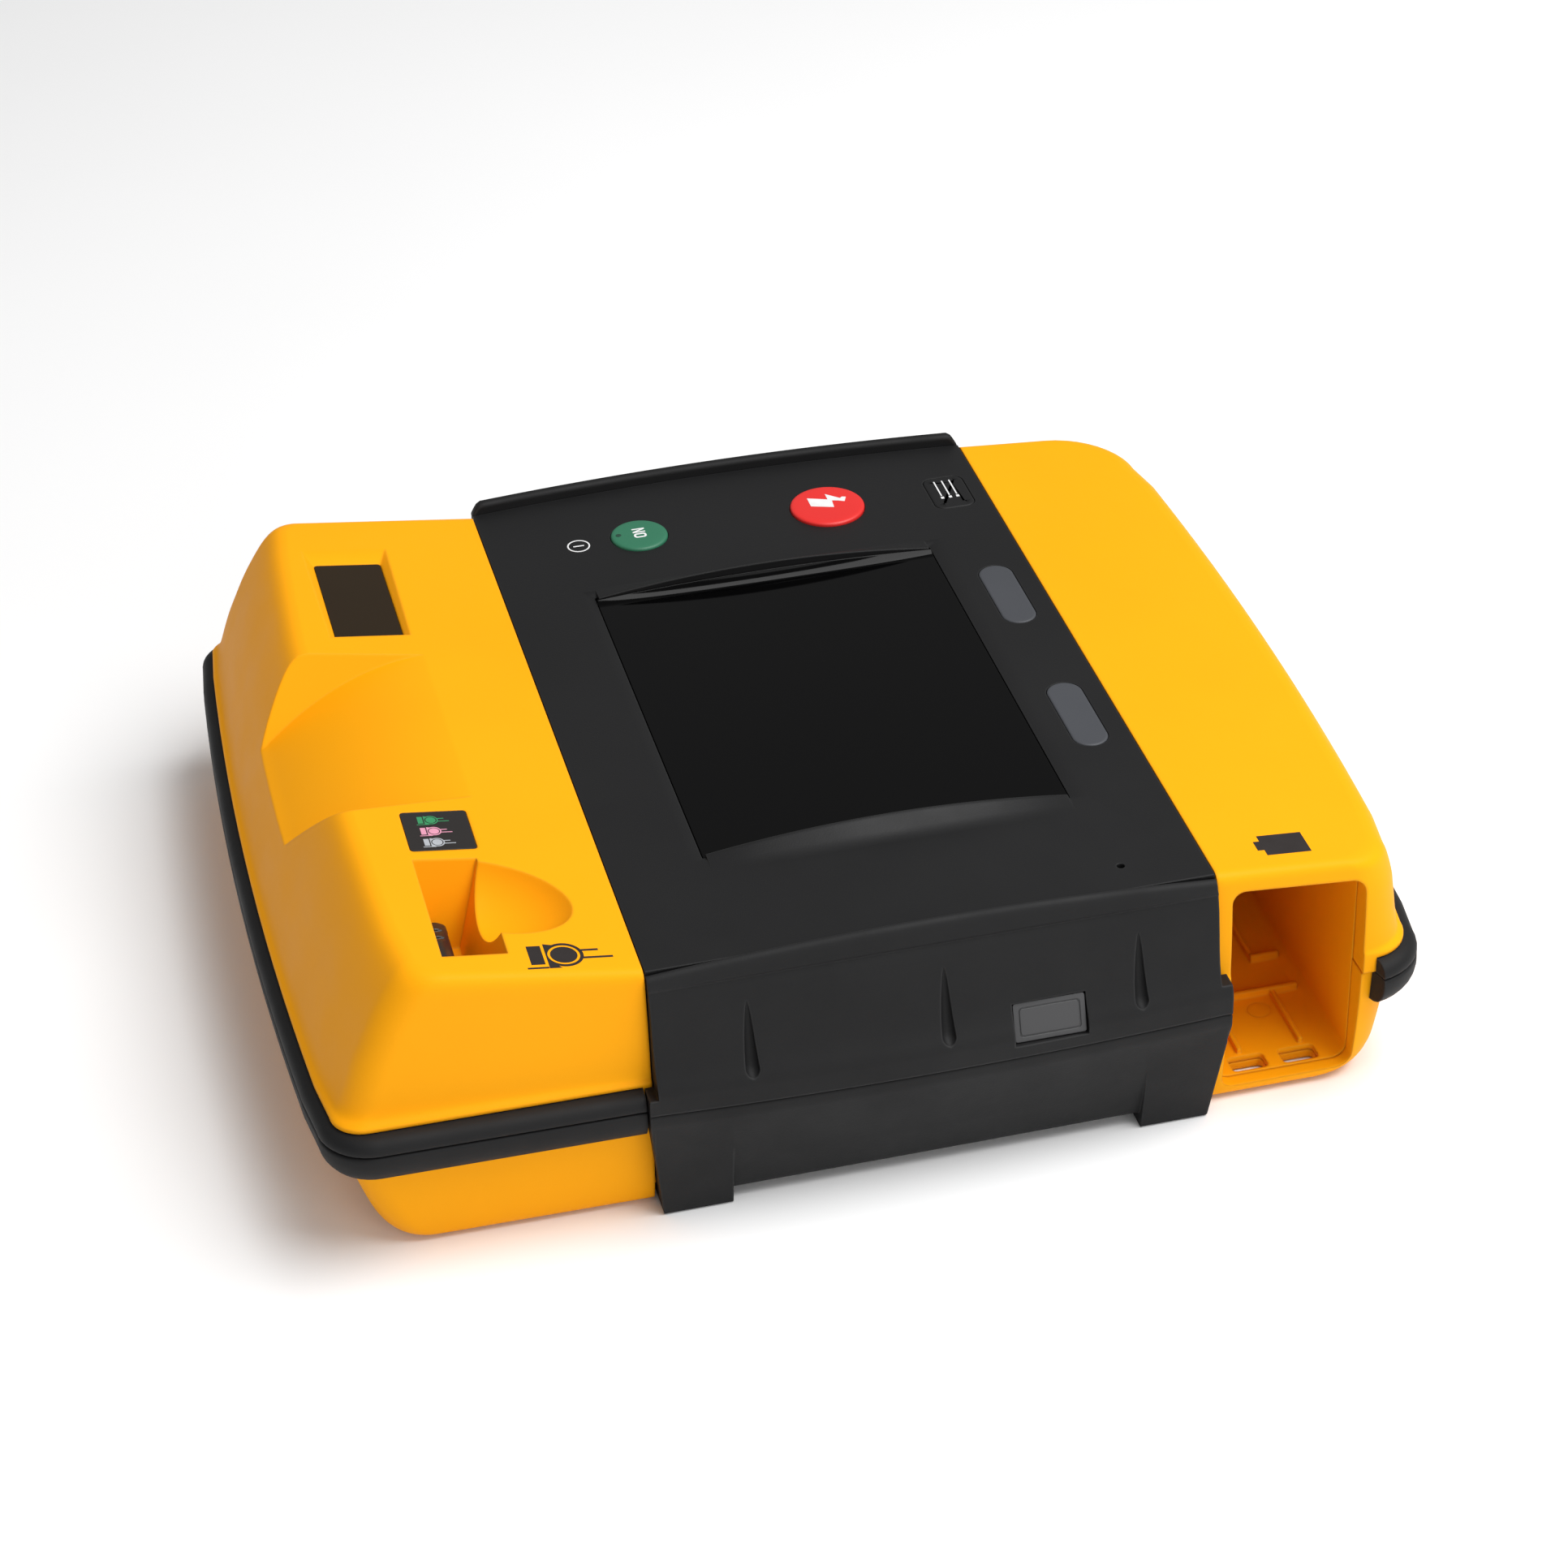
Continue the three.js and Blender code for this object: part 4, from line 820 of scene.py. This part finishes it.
def bezel_rim(side):
    """A rim beside the screen that arches up at its middle and slopes back to the panel."""
    edge = SCREEN.y1 if side > 0 else SCREEN.y0
    reach = BEZEL_REACH + (0.8 if side > 0 else 2.6)

    def section(x):
        arch = screen_arch(x)
        top = PANEL_Z + 0.25 + BEZEL_RISE * arch
        return [
            (edge, PANEL_Z - 1),
            (edge + side * (reach + 0.4), PANEL_Z - 1),
            (edge + side * reach, PANEL_Z - 0.02),
            (edge + side * (0.7 + (reach - 0.7) * 0.5), PANEL_Z + 0.02 + BEZEL_RISE * arch * 0.46),
            (edge + side * 1.3, top - BEZEL_RISE * arch * 0.08),
            (edge + side * 0.6, top),
            (edge + side * 0.2, top),
            (edge, top - 0.2),
        ]

    return ribbon("rim", stations(SCREEN.x0 + 0.5, SCREEN.x1 - 0.5, 49), section)


ON_KEY = Sizes(x=-16.1, y=82.9, r=7.65, top=69.4)
SHOCK_KEY = Sizes(x=35.8, y=83.2, r=10.05, top=69.6)
MENU_KEY = Sizes(x=69.4, y=81.8, half=5.5, reach=8.2, top=68.75)
SOFT_KEYS = Sizes(x=69.2, width=9.0, length=29.1, upper=27.1, lower=-31.9, top=68.8)
KEY_GAP = 0.15
KEY_DOME = 0.08


def softkey_outline(y, grow):
    x, w, h = SOFT_KEYS.x, SOFT_KEYS.width / 2 + grow, SOFT_KEYS.length / 2 + grow
    return rounded_rect(x - w, x + w, y - h, y + h, w - 0.01, 12)


def menu_outline(grow):
    k = MENU_KEY
    bounds = (k.x - k.half, k.x + k.half, k.y - k.reach, k.y + k.reach)
    return grown_rect(bounds, grow, 2.6 + grow, 8)


KEY_OUTLINES = {  # grown by g
    "on_button": lambda g: circle(ON_KEY.x, ON_KEY.y, ON_KEY.r + g, 72),
    "shock_button": lambda g: circle(SHOCK_KEY.x, SHOCK_KEY.y, SHOCK_KEY.r + g, 84),
    "menu_button": menu_outline,
    "softkey_upper": lambda g: softkey_outline(SOFT_KEYS.upper, g),
    "softkey_lower": lambda g: softkey_outline(SOFT_KEYS.lower, g),
}
KEY_STYLE = {  # material, slot, top
    "on_button": ("key_green", "key_green", ON_KEY.top),
    "shock_button": ("key_red", "key_red", SHOCK_KEY.top),
    "menu_button": ("panel", "panel_black", MENU_KEY.top),
    "softkey_upper": ("key_grey", "key_grey", SOFT_KEYS.top),
    "softkey_lower": ("key_grey", "key_grey", SOFT_KEYS.top),
}


def screen_chamfer():
    """The shallow slope from the panel down to the glass, widest beside the soft keys."""
    low = (SCREEN.x0 - 0.3, SCREEN.x1 + 0.3, SCREEN.y0 - 0.3, SCREEN.y1 + 2.7)
    high = (SCREEN.x0 - 3.4, SCREEN.x1 + 4.2, SCREEN.y0 - 2.2, SCREEN.y1 + 4.7)
    steps = [(low, SCREEN_TOP - 1.0), (low, SCREEN_TOP + 0.02),
             (high, PANEL_Z + 0.01), (high, PANEL_Z + 1)]
    rings = [[(x, y, z) for x, y in rounded_rect(*bounds, 0.8, 4)] for bounds, z in steps]
    return loft("chamfer", rings)


def control_panel():
    outline = [(PANEL_LEFT, PANEL_NEAR), (PANEL_RIGHT, PANEL_NEAR)]
    outline += [(x, far_edge(x)) for x in stations(PANEL_RIGHT, PANEL_LEFT, 41)]
    plate = prism("control_panel_skin", "z", outline, PANEL_Z - PANEL_THICK, PANEL_Z)
    plate = join(cut(plate, screen_chamfer()), bezel_rim(1), bezel_rim(-1))
    outlines = [outline_of(KEY_GAP) for outline_of in KEY_OUTLINES.values()]
    outlines.append(circle(*MIC_PLACE, MIC_RADIUS, 24))
    holes = [prism("hole", "z", hole, *THROUGH_PANEL) for hole in outlines]
    return cut(plate, screen_block("opening", 0.25, THROUGH_PANEL), *holes)


dress(control_panel(), "panel", replaces=("control_panel",))


def key_cap(name):
    """A domed key: its flange hides under the panel and its top edge is rounded."""
    outline_of, top = KEY_OUTLINES[name], KEY_STYLE[name][2]
    raised = top > 69
    edge = 0.75 if raised else 0.4
    rounding = [(0.0, 1.0), (0.16, 0.53), (0.47, 0.24), (1.0, 0.07), (1.9, 0.0)]
    steps = [(1.1, 63.6), (1.1, 65.0), (0.0, 65.0)]
    steps += [(-inward * edge, top - down * edge) for inward, down in rounding]
    steps.append((-3.2, top + KEY_DOME if raised else top))
    return loft(f"{name}_cap", [[(x, y, z) for x, y in outline_of(g)] for g, z in steps])


for key_name, (look, slot, _) in KEY_STYLE.items():
    dress(key_cap(key_name), look, body=key_name, replaces=(key_name,), sharp=50)


# -------- screen and windows
def lens_section(x):
    """The glass: flat, with its far edge curling up under the arched rim."""
    low, far, lift = PANEL_Z - 2, SCREEN.y1, 1.0 + 1.5 * screen_arch(x)
    shares = (1.0, 0.9, 0.75, 0.6, 0.45, 0.3, 0.15, 0.0)
    curl = [(far - 2.7 * (1 - t), SCREEN_TOP + lift * t * t) for t in shares]
    return [(SCREEN.y0, low), (far, low), *curl, (SCREEN.y0 + 0.3, SCREEN_TOP),
            (SCREEN.y0, SCREEN_TOP - 0.2)]


lens = ribbon("screen_window", stations(SCREEN.x0, SCREEN.x1, 49), lens_section)
dress(lens, "glass", replaces=("display_lens",), sharp=50)
dress(sloped_plate("readiness_pane", window_outline(-0.12), -3.3, -1.7),
      "smoked", replaces=("readiness_window",))
dress(sloped_plate("label_film", label_outline(0), -LABEL_THICK + 0.02, 0.05),
      "label", replaces=("recess_label",))

# -------- grips
LIP_NEAR, LIP_BOW, LIP_Z = 115.0, 2.3, 41.8
CREST_END = 2.6
NEAR_RISE = 2.8
INNER = CORE_HALF + GAP
GROOVES = (-34.6, 11.9, 59.0)
# The outer face of an upper grip as (y at the panel's ends, further out at its middle, z).
FLARE = (
    (109.6, 0.9, 61.0), (110.4, 1.1, 56.0), (111.1, 1.3, 51.0), (111.9, 1.6, 47.0),
    (112.8, 1.9, 44.2), (113.8, 2.1, 42.2), (114.6, LIP_BOW, 40.6), (LIP_NEAR, LIP_BOW, 39.0),
    (LIP_NEAR, LIP_BOW, SPLIT_Z + SEAM),
)


def flare_y(x, z):
    """How far out the grip's face stands at height z."""
    c = camber(x)
    for (y0, bow0, z0), (y1, bow1, z1) in zip(FLARE, FLARE[1:]):
        if z1 <= z <= z0:
            share = (z0 - z) / (z0 - z1)
            return y0 + bow0 * c + share * (y1 + bow1 * c - y0 - bow0 * c)
    return FLARE[0][0] + FLARE[0][1] * c


def grip_upper_section(side, x):
    """The upper grip at x: a raised crest beside the panel, then the flared outer face."""
    c = camber(x)
    if side > 0:
        edge = far_edge(x) + GAP
        to_end = max(0.0, min(x - PANEL_LEFT, PANEL_RIGHT - x))
        top = 68.4 + 3.1 * math.sin(math.pi / 2 * min(1.0, to_end / CREST_END))
        crest = [(INNER, 65.0), (edge, 65.0), (edge, top - 0.7), (edge + 0.7, top),
                 (edge + 2.4, top), (edge + 3.3, top - 1.0)]
    else:
        near = -PANEL_NEAR + GAP
        rise = NEAR_RISE * c
        crest = [(INNER, 62.0), (INNER + 1, 65.0), (near, 65.2), (near, 67.9 + rise),
                 (near + 1.6, 67.3 + rise), (near + 2.4, 65.6 + rise), (near + 3.0, 64.9)]
    points = [(INNER, SPLIT_Z + SEAM), *soften(crest, 0.7)]
    points += [(y + spread * c, z) for y, spread, z in FLARE]
    return [(side * y, z) for y, z in points]


def grip_lower_section(side, x):
    """The lower grip at x: the outer face, then a thin tongue under the case."""
    c = camber(x)
    lip = LIP_NEAR - 0.2 + LIP_BOW * c
    points = [
        (lip, SPLIT_Z - SEAM), (lip, 31.0), (110.8 + 1.4 * c, 14.0), (108.6 + 0.4 * c, 4.2),
        (107.4, 2.9), (90.4, 2.9), (90.4, 3.4), (101.4, 3.4),
        (INNER - 0.9, 5.2), (INNER, 8.0), (INNER, SPLIT_Z - SEAM),
    ]
    return [(side * y, z) for y, z in soften(points, 0.9)]


LEFT_OF_GRIP, RIGHT_OF_GRIP = (-90, PANEL_LEFT), (PANEL_RIGHT, 110)


def beside_case(side):
    """Tools that keep only the lips of a grip where it runs past the panel's ends."""
    y0, y1 = (-10, 109.4) if side > 0 else (-109.4, 10)
    return [block("beside", *xs, y0, y1, -5, 90) for xs in (LEFT_OF_GRIP, RIGHT_OF_GRIP)]


def grip_stations():
    ends = (0.0, 0.3, 0.8, 1.5, CREST_END)
    return [LIP_LEFT, *(PANEL_LEFT + e for e in ends),
            *stations(PANEL_LEFT + 4, PANEL_RIGHT - 4, 43),
            *(PANEL_RIGHT - e for e in reversed(ends)), LIP_RIGHT]


def grip_upper(side):
    name = "far_grip_top" if side > 0 else "near_grip_top"
    body = ribbon(name, grip_stations(), lambda x: grip_upper_section(side, x))
    overhang = [
        block("over", *LEFT_OF_GRIP, -BEYOND, BEYOND, BUMPER_TOP + SEAT_GAP, 90),
        block("over", *RIGHT_OF_GRIP, -BEYOND, BEYOND, LIP_Z + 0.1, 90),
    ]
    return cut(body, *overhang, *beside_case(side), *(groove(side, x) for x in GROOVES))


def groove(side, x):
    """A finger groove: a drop shape, round and deep at the lip, drawn out to a point above."""
    low, high, width = 40.6, 59.5, 1.8
    rings = []
    for share in stations(0, 1, 33):
        z = low + (high - low) * share
        radius = max(0.03, width * min(1.0, math.sqrt(share / 0.09)) * (1 - share) ** 0.6)
        y = flare_y(x, z) - 0.1 * radius
        rings.append([(px, side * py, z) for px, py in circle(x, y, radius, 20)])
    tool = loft("groove", rings)
    fix_outside(tool)
    return tool


def grip_lower(side):
    """A lower grip with its two feet, its ends leaning inwards towards the bottom."""
    name = "far_grip_base" if side > 0 else "near_grip_base"
    body = ribbon(name, grip_stations(), lambda x: grip_lower_section(side, x))
    front = prism("front", "y", [
        (LIP_LEFT, 40), (LIP_LEFT, 30), (PANEL_LEFT + 1.4, -5),
        (PANEL_RIGHT - 1.4, -5), (LIP_RIGHT, 30), (LIP_RIGHT, 40),
    ], -130, 130)
    foot = [(side * y, z) for y, z in (
        (109.3, 0), (109.9, 0.7), (114.6, 30.5), (112, 31), (105.4, 18), (105.4, 6),
        (104.6, 3.3), (92, 3.3), (92, 0),
    )]
    feet = [prism("foot", "x", foot, x0, x1) for x0, x1 in ((-58, -39.3), (61.5, 81))]
    return cut(intersect(join(body, *feet), front), *beside_case(side))


near_top = cut(grip_upper(-1), infrared_block(GAP, -125, -100))
dress(near_top, "rubber", replaces=("near_grip_upper",))
dress(grip_upper(1), "rubber", replaces=("far_grip_upper",))
dress(grip_lower(-1), "rubber", replaces=("near_grip_lower",))
dress(grip_lower(1), "rubber", replaces=("far_grip_lower",))


def infrared_window():
    """A framed grey window that leans with the grip's face, with a fine groove round it."""
    x0, x1, z0, z1 = IRDA.x0, IRDA.x1, IRDA.z0, IRDA.z1
    back, lean, front = -105.2, 2.9, -113.0
    line_x, line_z, line_width, line_depth = 1.2, 1.1, 0.35, 0.25

    def leaning(name, y):
        return prism(name, "x", [(back, z0), (y - lean, z0), (y, z1), (back, z1)], x0 - 1, x1 + 1)

    def frame_tool(name, dx, dz, radius, y0, y1):
        outline = rounded_rect(x0 + dx, x1 - dx, z0 + dz, z1 - dz, radius, 4)
        return prism(name, "y", outline, y0, y1)

    pane = intersect(leaning("infrared_pane", front), frame_tool("frame", 0, 0, 0.6, -125, -100))
    line = cut(frame_tool("groove", line_x, line_z, 0.9, -120, -100),
               frame_tool("island", line_x + line_width, line_z + line_width, 0.7, -125, -90))
    return cut(pane, cut(line, leaning("floor", front + line_depth)))


dress(infrared_window(), "grey_window", replaces=("data_window",))

# -------- bumpers
BUMPER_IN = -2.1
BUMPER_UPPER = soften([
    (BUMPER_IN, SPLIT_Z + SEAM), (BUMPER_OUT, SPLIT_Z + SEAM), (BUMPER_OUT - 0.35, BUMPER_TOP - 2),
    (BUMPER_OUT - 1.6, BUMPER_TOP - 0.7), (1.6, BUMPER_TOP - 0.1), (BUMPER_IN, BUMPER_TOP),
], 0.9, 3)
BUMPER_LOWER = soften([
    (BUMPER_IN, BUMPER_BOTTOM), (0.6, BUMPER_BOTTOM), (2.9, BUMPER_BOTTOM + 1.1),
    (4.5, BUMPER_BOTTOM + 3.5), (BUMPER_OUT, 31.0), (BUMPER_OUT - 0.1, SPLIT_Z - SEAM),
    (BUMPER_IN, SPLIT_Z - SEAM),
], 0.9, 3)
for end, path in BUMPER_PATHS.items():
    for half, section in (("upper", BUMPER_UPPER), ("lower", BUMPER_LOWER)):
        piece = sweep(f"bumper_band_{end}_{half}", path, section)
        dress(piece, "rubber", replaces=(f"bumper_{end}_{half}",), sharp=40)

# -------- battery bay liner
def battery_bay():
    """The liner of the battery well, with ribs and a stamped ring on its floor."""
    x0, x1, floor = BAY.x0 + 2, BAY.x1 - 2, BAY.z0
    liner = prism("bay_liner", "y", bay_outline(BAY_WALL), LINER_START, BAY.y1 + BAY_WALL)
    cut(liner, prism("space", "y", bay_outline(0), BAY.y0 - 5, BAY.y1))
    ribs = [
        (107.2, 108.4, -94, -73, 1.4), (91.4, 92.6, -94, -73, 1.4), (x0, x1, -73.8, -72.6, 2),
        (107.2, x1, -60.2, -59, 2), (107.2, 108.4, -60, 20, 1.4),
    ]
    join(liner, *(block("rib", *sides, floor - 0.5, floor + high) for *sides, high in ribs))
    contact_hole = block("contacts", 90, 110, BAY.y1 - 1, BAY.y1 + 4, 40, 52)
    mark = cut(prism("mark", "z", circle(102.5, -79, 3.05, 40), floor - 0.15, floor + 0.5),
               prism("centre", "z", circle(102.5, -79, 2.75, 40), 0, 10))
    return cut(liner, contact_hole, mark, *slot_cutters())


dress(battery_bay(), "yellow", replaces=("battery_bay",))


# -------- electrode connector
def connector_socket():
    """A rounded black housing with ridges between grooves, its mouth facing the panel."""
    s = SOCKET
    x0, x1, y0, y1, z0, z1 = s.x0, s.x1, s.y0, s.y1, s.z0, s.z1
    outline = soften([(x0, z0), (x1, z0), (x1, z1 - 1.5), (x1 - 2.5, z1), (x0, z1)], 1.1)
    body = prism("connector_shroud", "y", outline, y0, y1)
    grooves = [block("groove", x0 + 4, x1 + 1, y - 0.5, y + 0.5, z1 - 0.7, z1 + 2)
               for y in (y0 + 3.2, y0 + 6.2, y1 - 6.2, y1 - 3.2)]
    inside = grown_rect((y0, y1, z0, z1), -1.6, 1.2, 8)
    return cut(body, prism("mouth", "x", inside, x0 + 3, x1 + 1), *grooves)


dress(connector_socket(), "gloss_black", replaces=("connector_socket",))


# -------- printed marks
def printed(name, shapes, height, look, body=BODY, lift=0.05):
    """Flat printed shapes, each an outline with holes, laid on the surface height(x, y)."""
    verts, faces = [], []
    for loops in shapes:
        flat = [[Vector((x, y, 0)) for x, y in loop] for loop in loops]
        start = len(verts)
        points = [p for loop in flat for p in loop]
        verts += [(p.x, p.y, height(p.x, p.y) + lift) for p in points]
        for a, b, c in tessellate_polygon(flat):
            pa, pb, pc = points[a], points[b], points[c]
            if (pb - pa).cross(pc - pa).z <= 0:
                b, c = c, b
            faces.append((start + a, start + b, start + c))
    obj = mesh_object(name, verts, faces)
    solid = obj.modifiers.new("thickness", "SOLIDIFY")
    solid.thickness = 0.08 * MM
    solid.offset = -1
    apply_modifiers(obj)
    return dress(obj, look, body=body)


def sloped(x, y):
    return top_height(x)


def flat_at(z):
    return lambda x, y: z


def plug_mark(dx, dy, k):
    """A generic plug pictogram: a housing, a round grip and two leads, as filled outlines."""
    round_part = [(x, y) for x, y in circle(0, 0, 4.5, 64) if x > -2.2]
    round_part.sort(key=lambda point: math.atan2(point[1], point[0]))
    shapes = [
        [rect(-8.0, -4.8, -3.3, 3.9)],
        [rect(-9.1, -4.2, -4.9, -4.3)],
        [[(-4.1, 4.5), (-4.1, -4.9), (-1.2, -4.9), *round_part], circle(0, 0, 3.7, 48)],
        [circle(0, 0, 3.1, 48)],
        [rect(4.2, 8.1, 1.1, 1.8)],
        [rect(4.2, 11.0, -1.8, -1.1)],
    ]
    return [[[(x * k + dx, y * k + dy) for x, y in loop] for loop in loops] for loops in shapes]


printed("plug_pictogram", plug_mark(-73.6, -97.3, 1.0), sloped, "ink_black")
BATTERY = [(94, -100.2), (105, -100.2), (105, -92.2), (94, -92.2),
           (94, -94.4), (92.4, -94.4), (92.4, -98.0), (94, -98.0)]
printed("battery_pictogram", [[BATTERY]], sloped, "ink_black")
for colour, dy in (("ink_green", -40.2), ("ink_pink", -44.9), ("ink_grey", -49.6)):
    printed(f"label_{colour}", plug_mark(-93.9, dy, 0.39), sloped, colour, lift=0.1)

power_ring = [circle(-32.7, 82.5, 3.05, 64), circle(-32.7, 82.5, 2.65, 64)]
power_bar = [rounded_rect(-34.2, -31.2, 82.25, 82.7, 0.2, 4)]
printed("power_pictogram", [power_ring, power_bar], flat_at(PANEL_Z), "ink_white")

BOLT = [(31.3, 87.7), (31.3, 83.3), (37.2, 81.2), (37.5, 84.8), (39.3, 84.2), (40.7, 83.5),
        (41.6, 85.6), (40.6, 86.0), (39.9, 85.4), (36.5, 88.6), (36.5, 85.6)]
printed("bolt_arrow", [[BOLT]], flat_at(SHOCK_KEY.top + KEY_DOME), "ink_white",
        body="shock_button")

menu_lines = []
for x in (66.9, 69.1, 71.15):
    menu_lines.append([rect(x - 0.19, x + 0.19, 80.2, 88.0)])
    menu_lines.append([rect(x - 0.42, x + 0.42, 78.7, 79.7)])
printed("menu_lines", menu_lines, flat_at(MENU_KEY.top), "ink_white", body="menu_button")


def turned(points, cx, cy):
    """Letter shapes drawn upright, turned to read away from the data window side."""
    return [(cx - y, cy + x) for x, y in points]


def letters_on(cx, cy):
    o_out = rounded_rect(-2.35, -0.2, -1.7, 1.7, 0.9, 8)
    o_in = rounded_rect(-1.8, -0.75, -1.15, 1.15, 0.45, 8)
    n = [(0.25, -1.7), (0.75, -1.7), (0.75, 0.6), (1.8, -1.7), (2.35, -1.7),
         (2.35, 1.7), (1.85, 1.7), (1.85, -0.6), (0.8, 1.7), (0.25, 1.7)]
    return [[turned(o_out, cx, cy), turned(o_in, cx, cy)], [turned(n, cx, cy)]]


printed("on_letters", letters_on(-16.0, 83.2), flat_at(ON_KEY.top + KEY_DOME), "ink_white",
        body="on_button")
printed("on_lamp", [[circle(-21.6, 83.5, 0.75, 32)]], flat_at(ON_KEY.top + 0.02), "ink_dark",
        body="on_button")

# -------- carried-over CAD pieces
CARRIED = {
    "board": ("display_module", "switch_board", "readiness_display", "main_board", "data_board"),
    "steel": ("display_bracket", "heat_sink", "backup_cell", "microphone",
              *(f"case_screw_{i}" for i in range(1, 7))),
    "brass": (*(f"battery_contact_{i}" for i in range(1, 5)),
              *(f"connector_pin_{i}" for i in range(1, 4))),
    "rubber": ("battery_contact_block", "case_seal", "speaker", "processor_module"),
    "winding": ("transformer",),
    "capacitor": ("energy_capacitor",),
    "relay": ("transfer_relay",),
}
for look, names in CARRIED.items():
    for name in names:
        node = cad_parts[name]
        node.data.materials.clear()
        node.data.materials.append(MATERIALS[look])

# -------- stage, light and camera
floor_look = Nodes("floor")
paper = floor_look.mix(floor_look.span(floor_look.noise(3.0), 0.0, 1.0), (0.93,) * 3, (0.95,) * 3)
floor_look.link(paper, floor_look.bsdf.inputs["Base Color"])
floor_look.bsdf.inputs["Roughness"].default_value = 0.9
floor_look.bsdf.inputs["Specular IOR Level"].default_value = 0.1
REACH, DROP = 6000, 0.05
corners = [(x, y, -DROP) for x, y in rect(-REACH, REACH, -REACH, REACH)]
floor = mesh_object("floor", corners, [(0, 1, 2, 3)])
floor.data.materials.append(floor_look.material)

world = bpy.data.worlds.new("studio")
world.use_nodes = True
sky = world.node_tree.nodes["Background"]
sky.inputs["Color"].default_value = (1, 1, 1, 1)
sky.inputs["Strength"].default_value = 0.34
bpy.context.scene.world = world


def area_light(name, location, target, size, watts):
    light = bpy.data.lights.new(name, "AREA")
    light.shape = "RECTANGLE"
    light.size, light.size_y = size
    light.energy = watts
    obj = bpy.data.objects.new(name, light)
    obj.location = location
    obj.rotation_euler = (Vector(target) - Vector(location)).to_track_quat("-Z", "Y").to_euler()
    bpy.context.scene.collection.objects.link(obj)


area_light("key_light", (0.55, -0.3, 1.3), (0, 0, 0), (1.2, 1.0), 24)
area_light("front_light", (0.35, -1.5, 0.7), (0, 0, 0.03), (1.2, 0.8), 5.5)

CAMERA = Sizes(
    place=(-188.72, -800.63, 600.363),
    right=(0.96875562, -0.24692135, -0.02328924),
    up=(0.15776088, 0.5410354, 0.82607034),
    back=(-0.19137409, -0.80393442, 0.56308562),
    focal=4822.67,
    width=1932.0,
)
camera = bpy.data.cameras.new("camera")
camera.sensor_fit = "HORIZONTAL"
camera.sensor_width = 36.0
camera.lens = CAMERA.focal / CAMERA.width * camera.sensor_width
camera.clip_end = 50.0
camera_object = bpy.data.objects.new("camera", camera)
turn = Matrix((CAMERA.right, CAMERA.up, CAMERA.back)).transposed()
camera_object.matrix_world = Matrix.Translation(Vector(CAMERA.place) * MM) @ turn.to_4x4()
bpy.context.scene.collection.objects.link(camera_object)
bpy.context.scene.camera = camera_object
bpy.context.scene.view_settings.view_transform = "Standard"
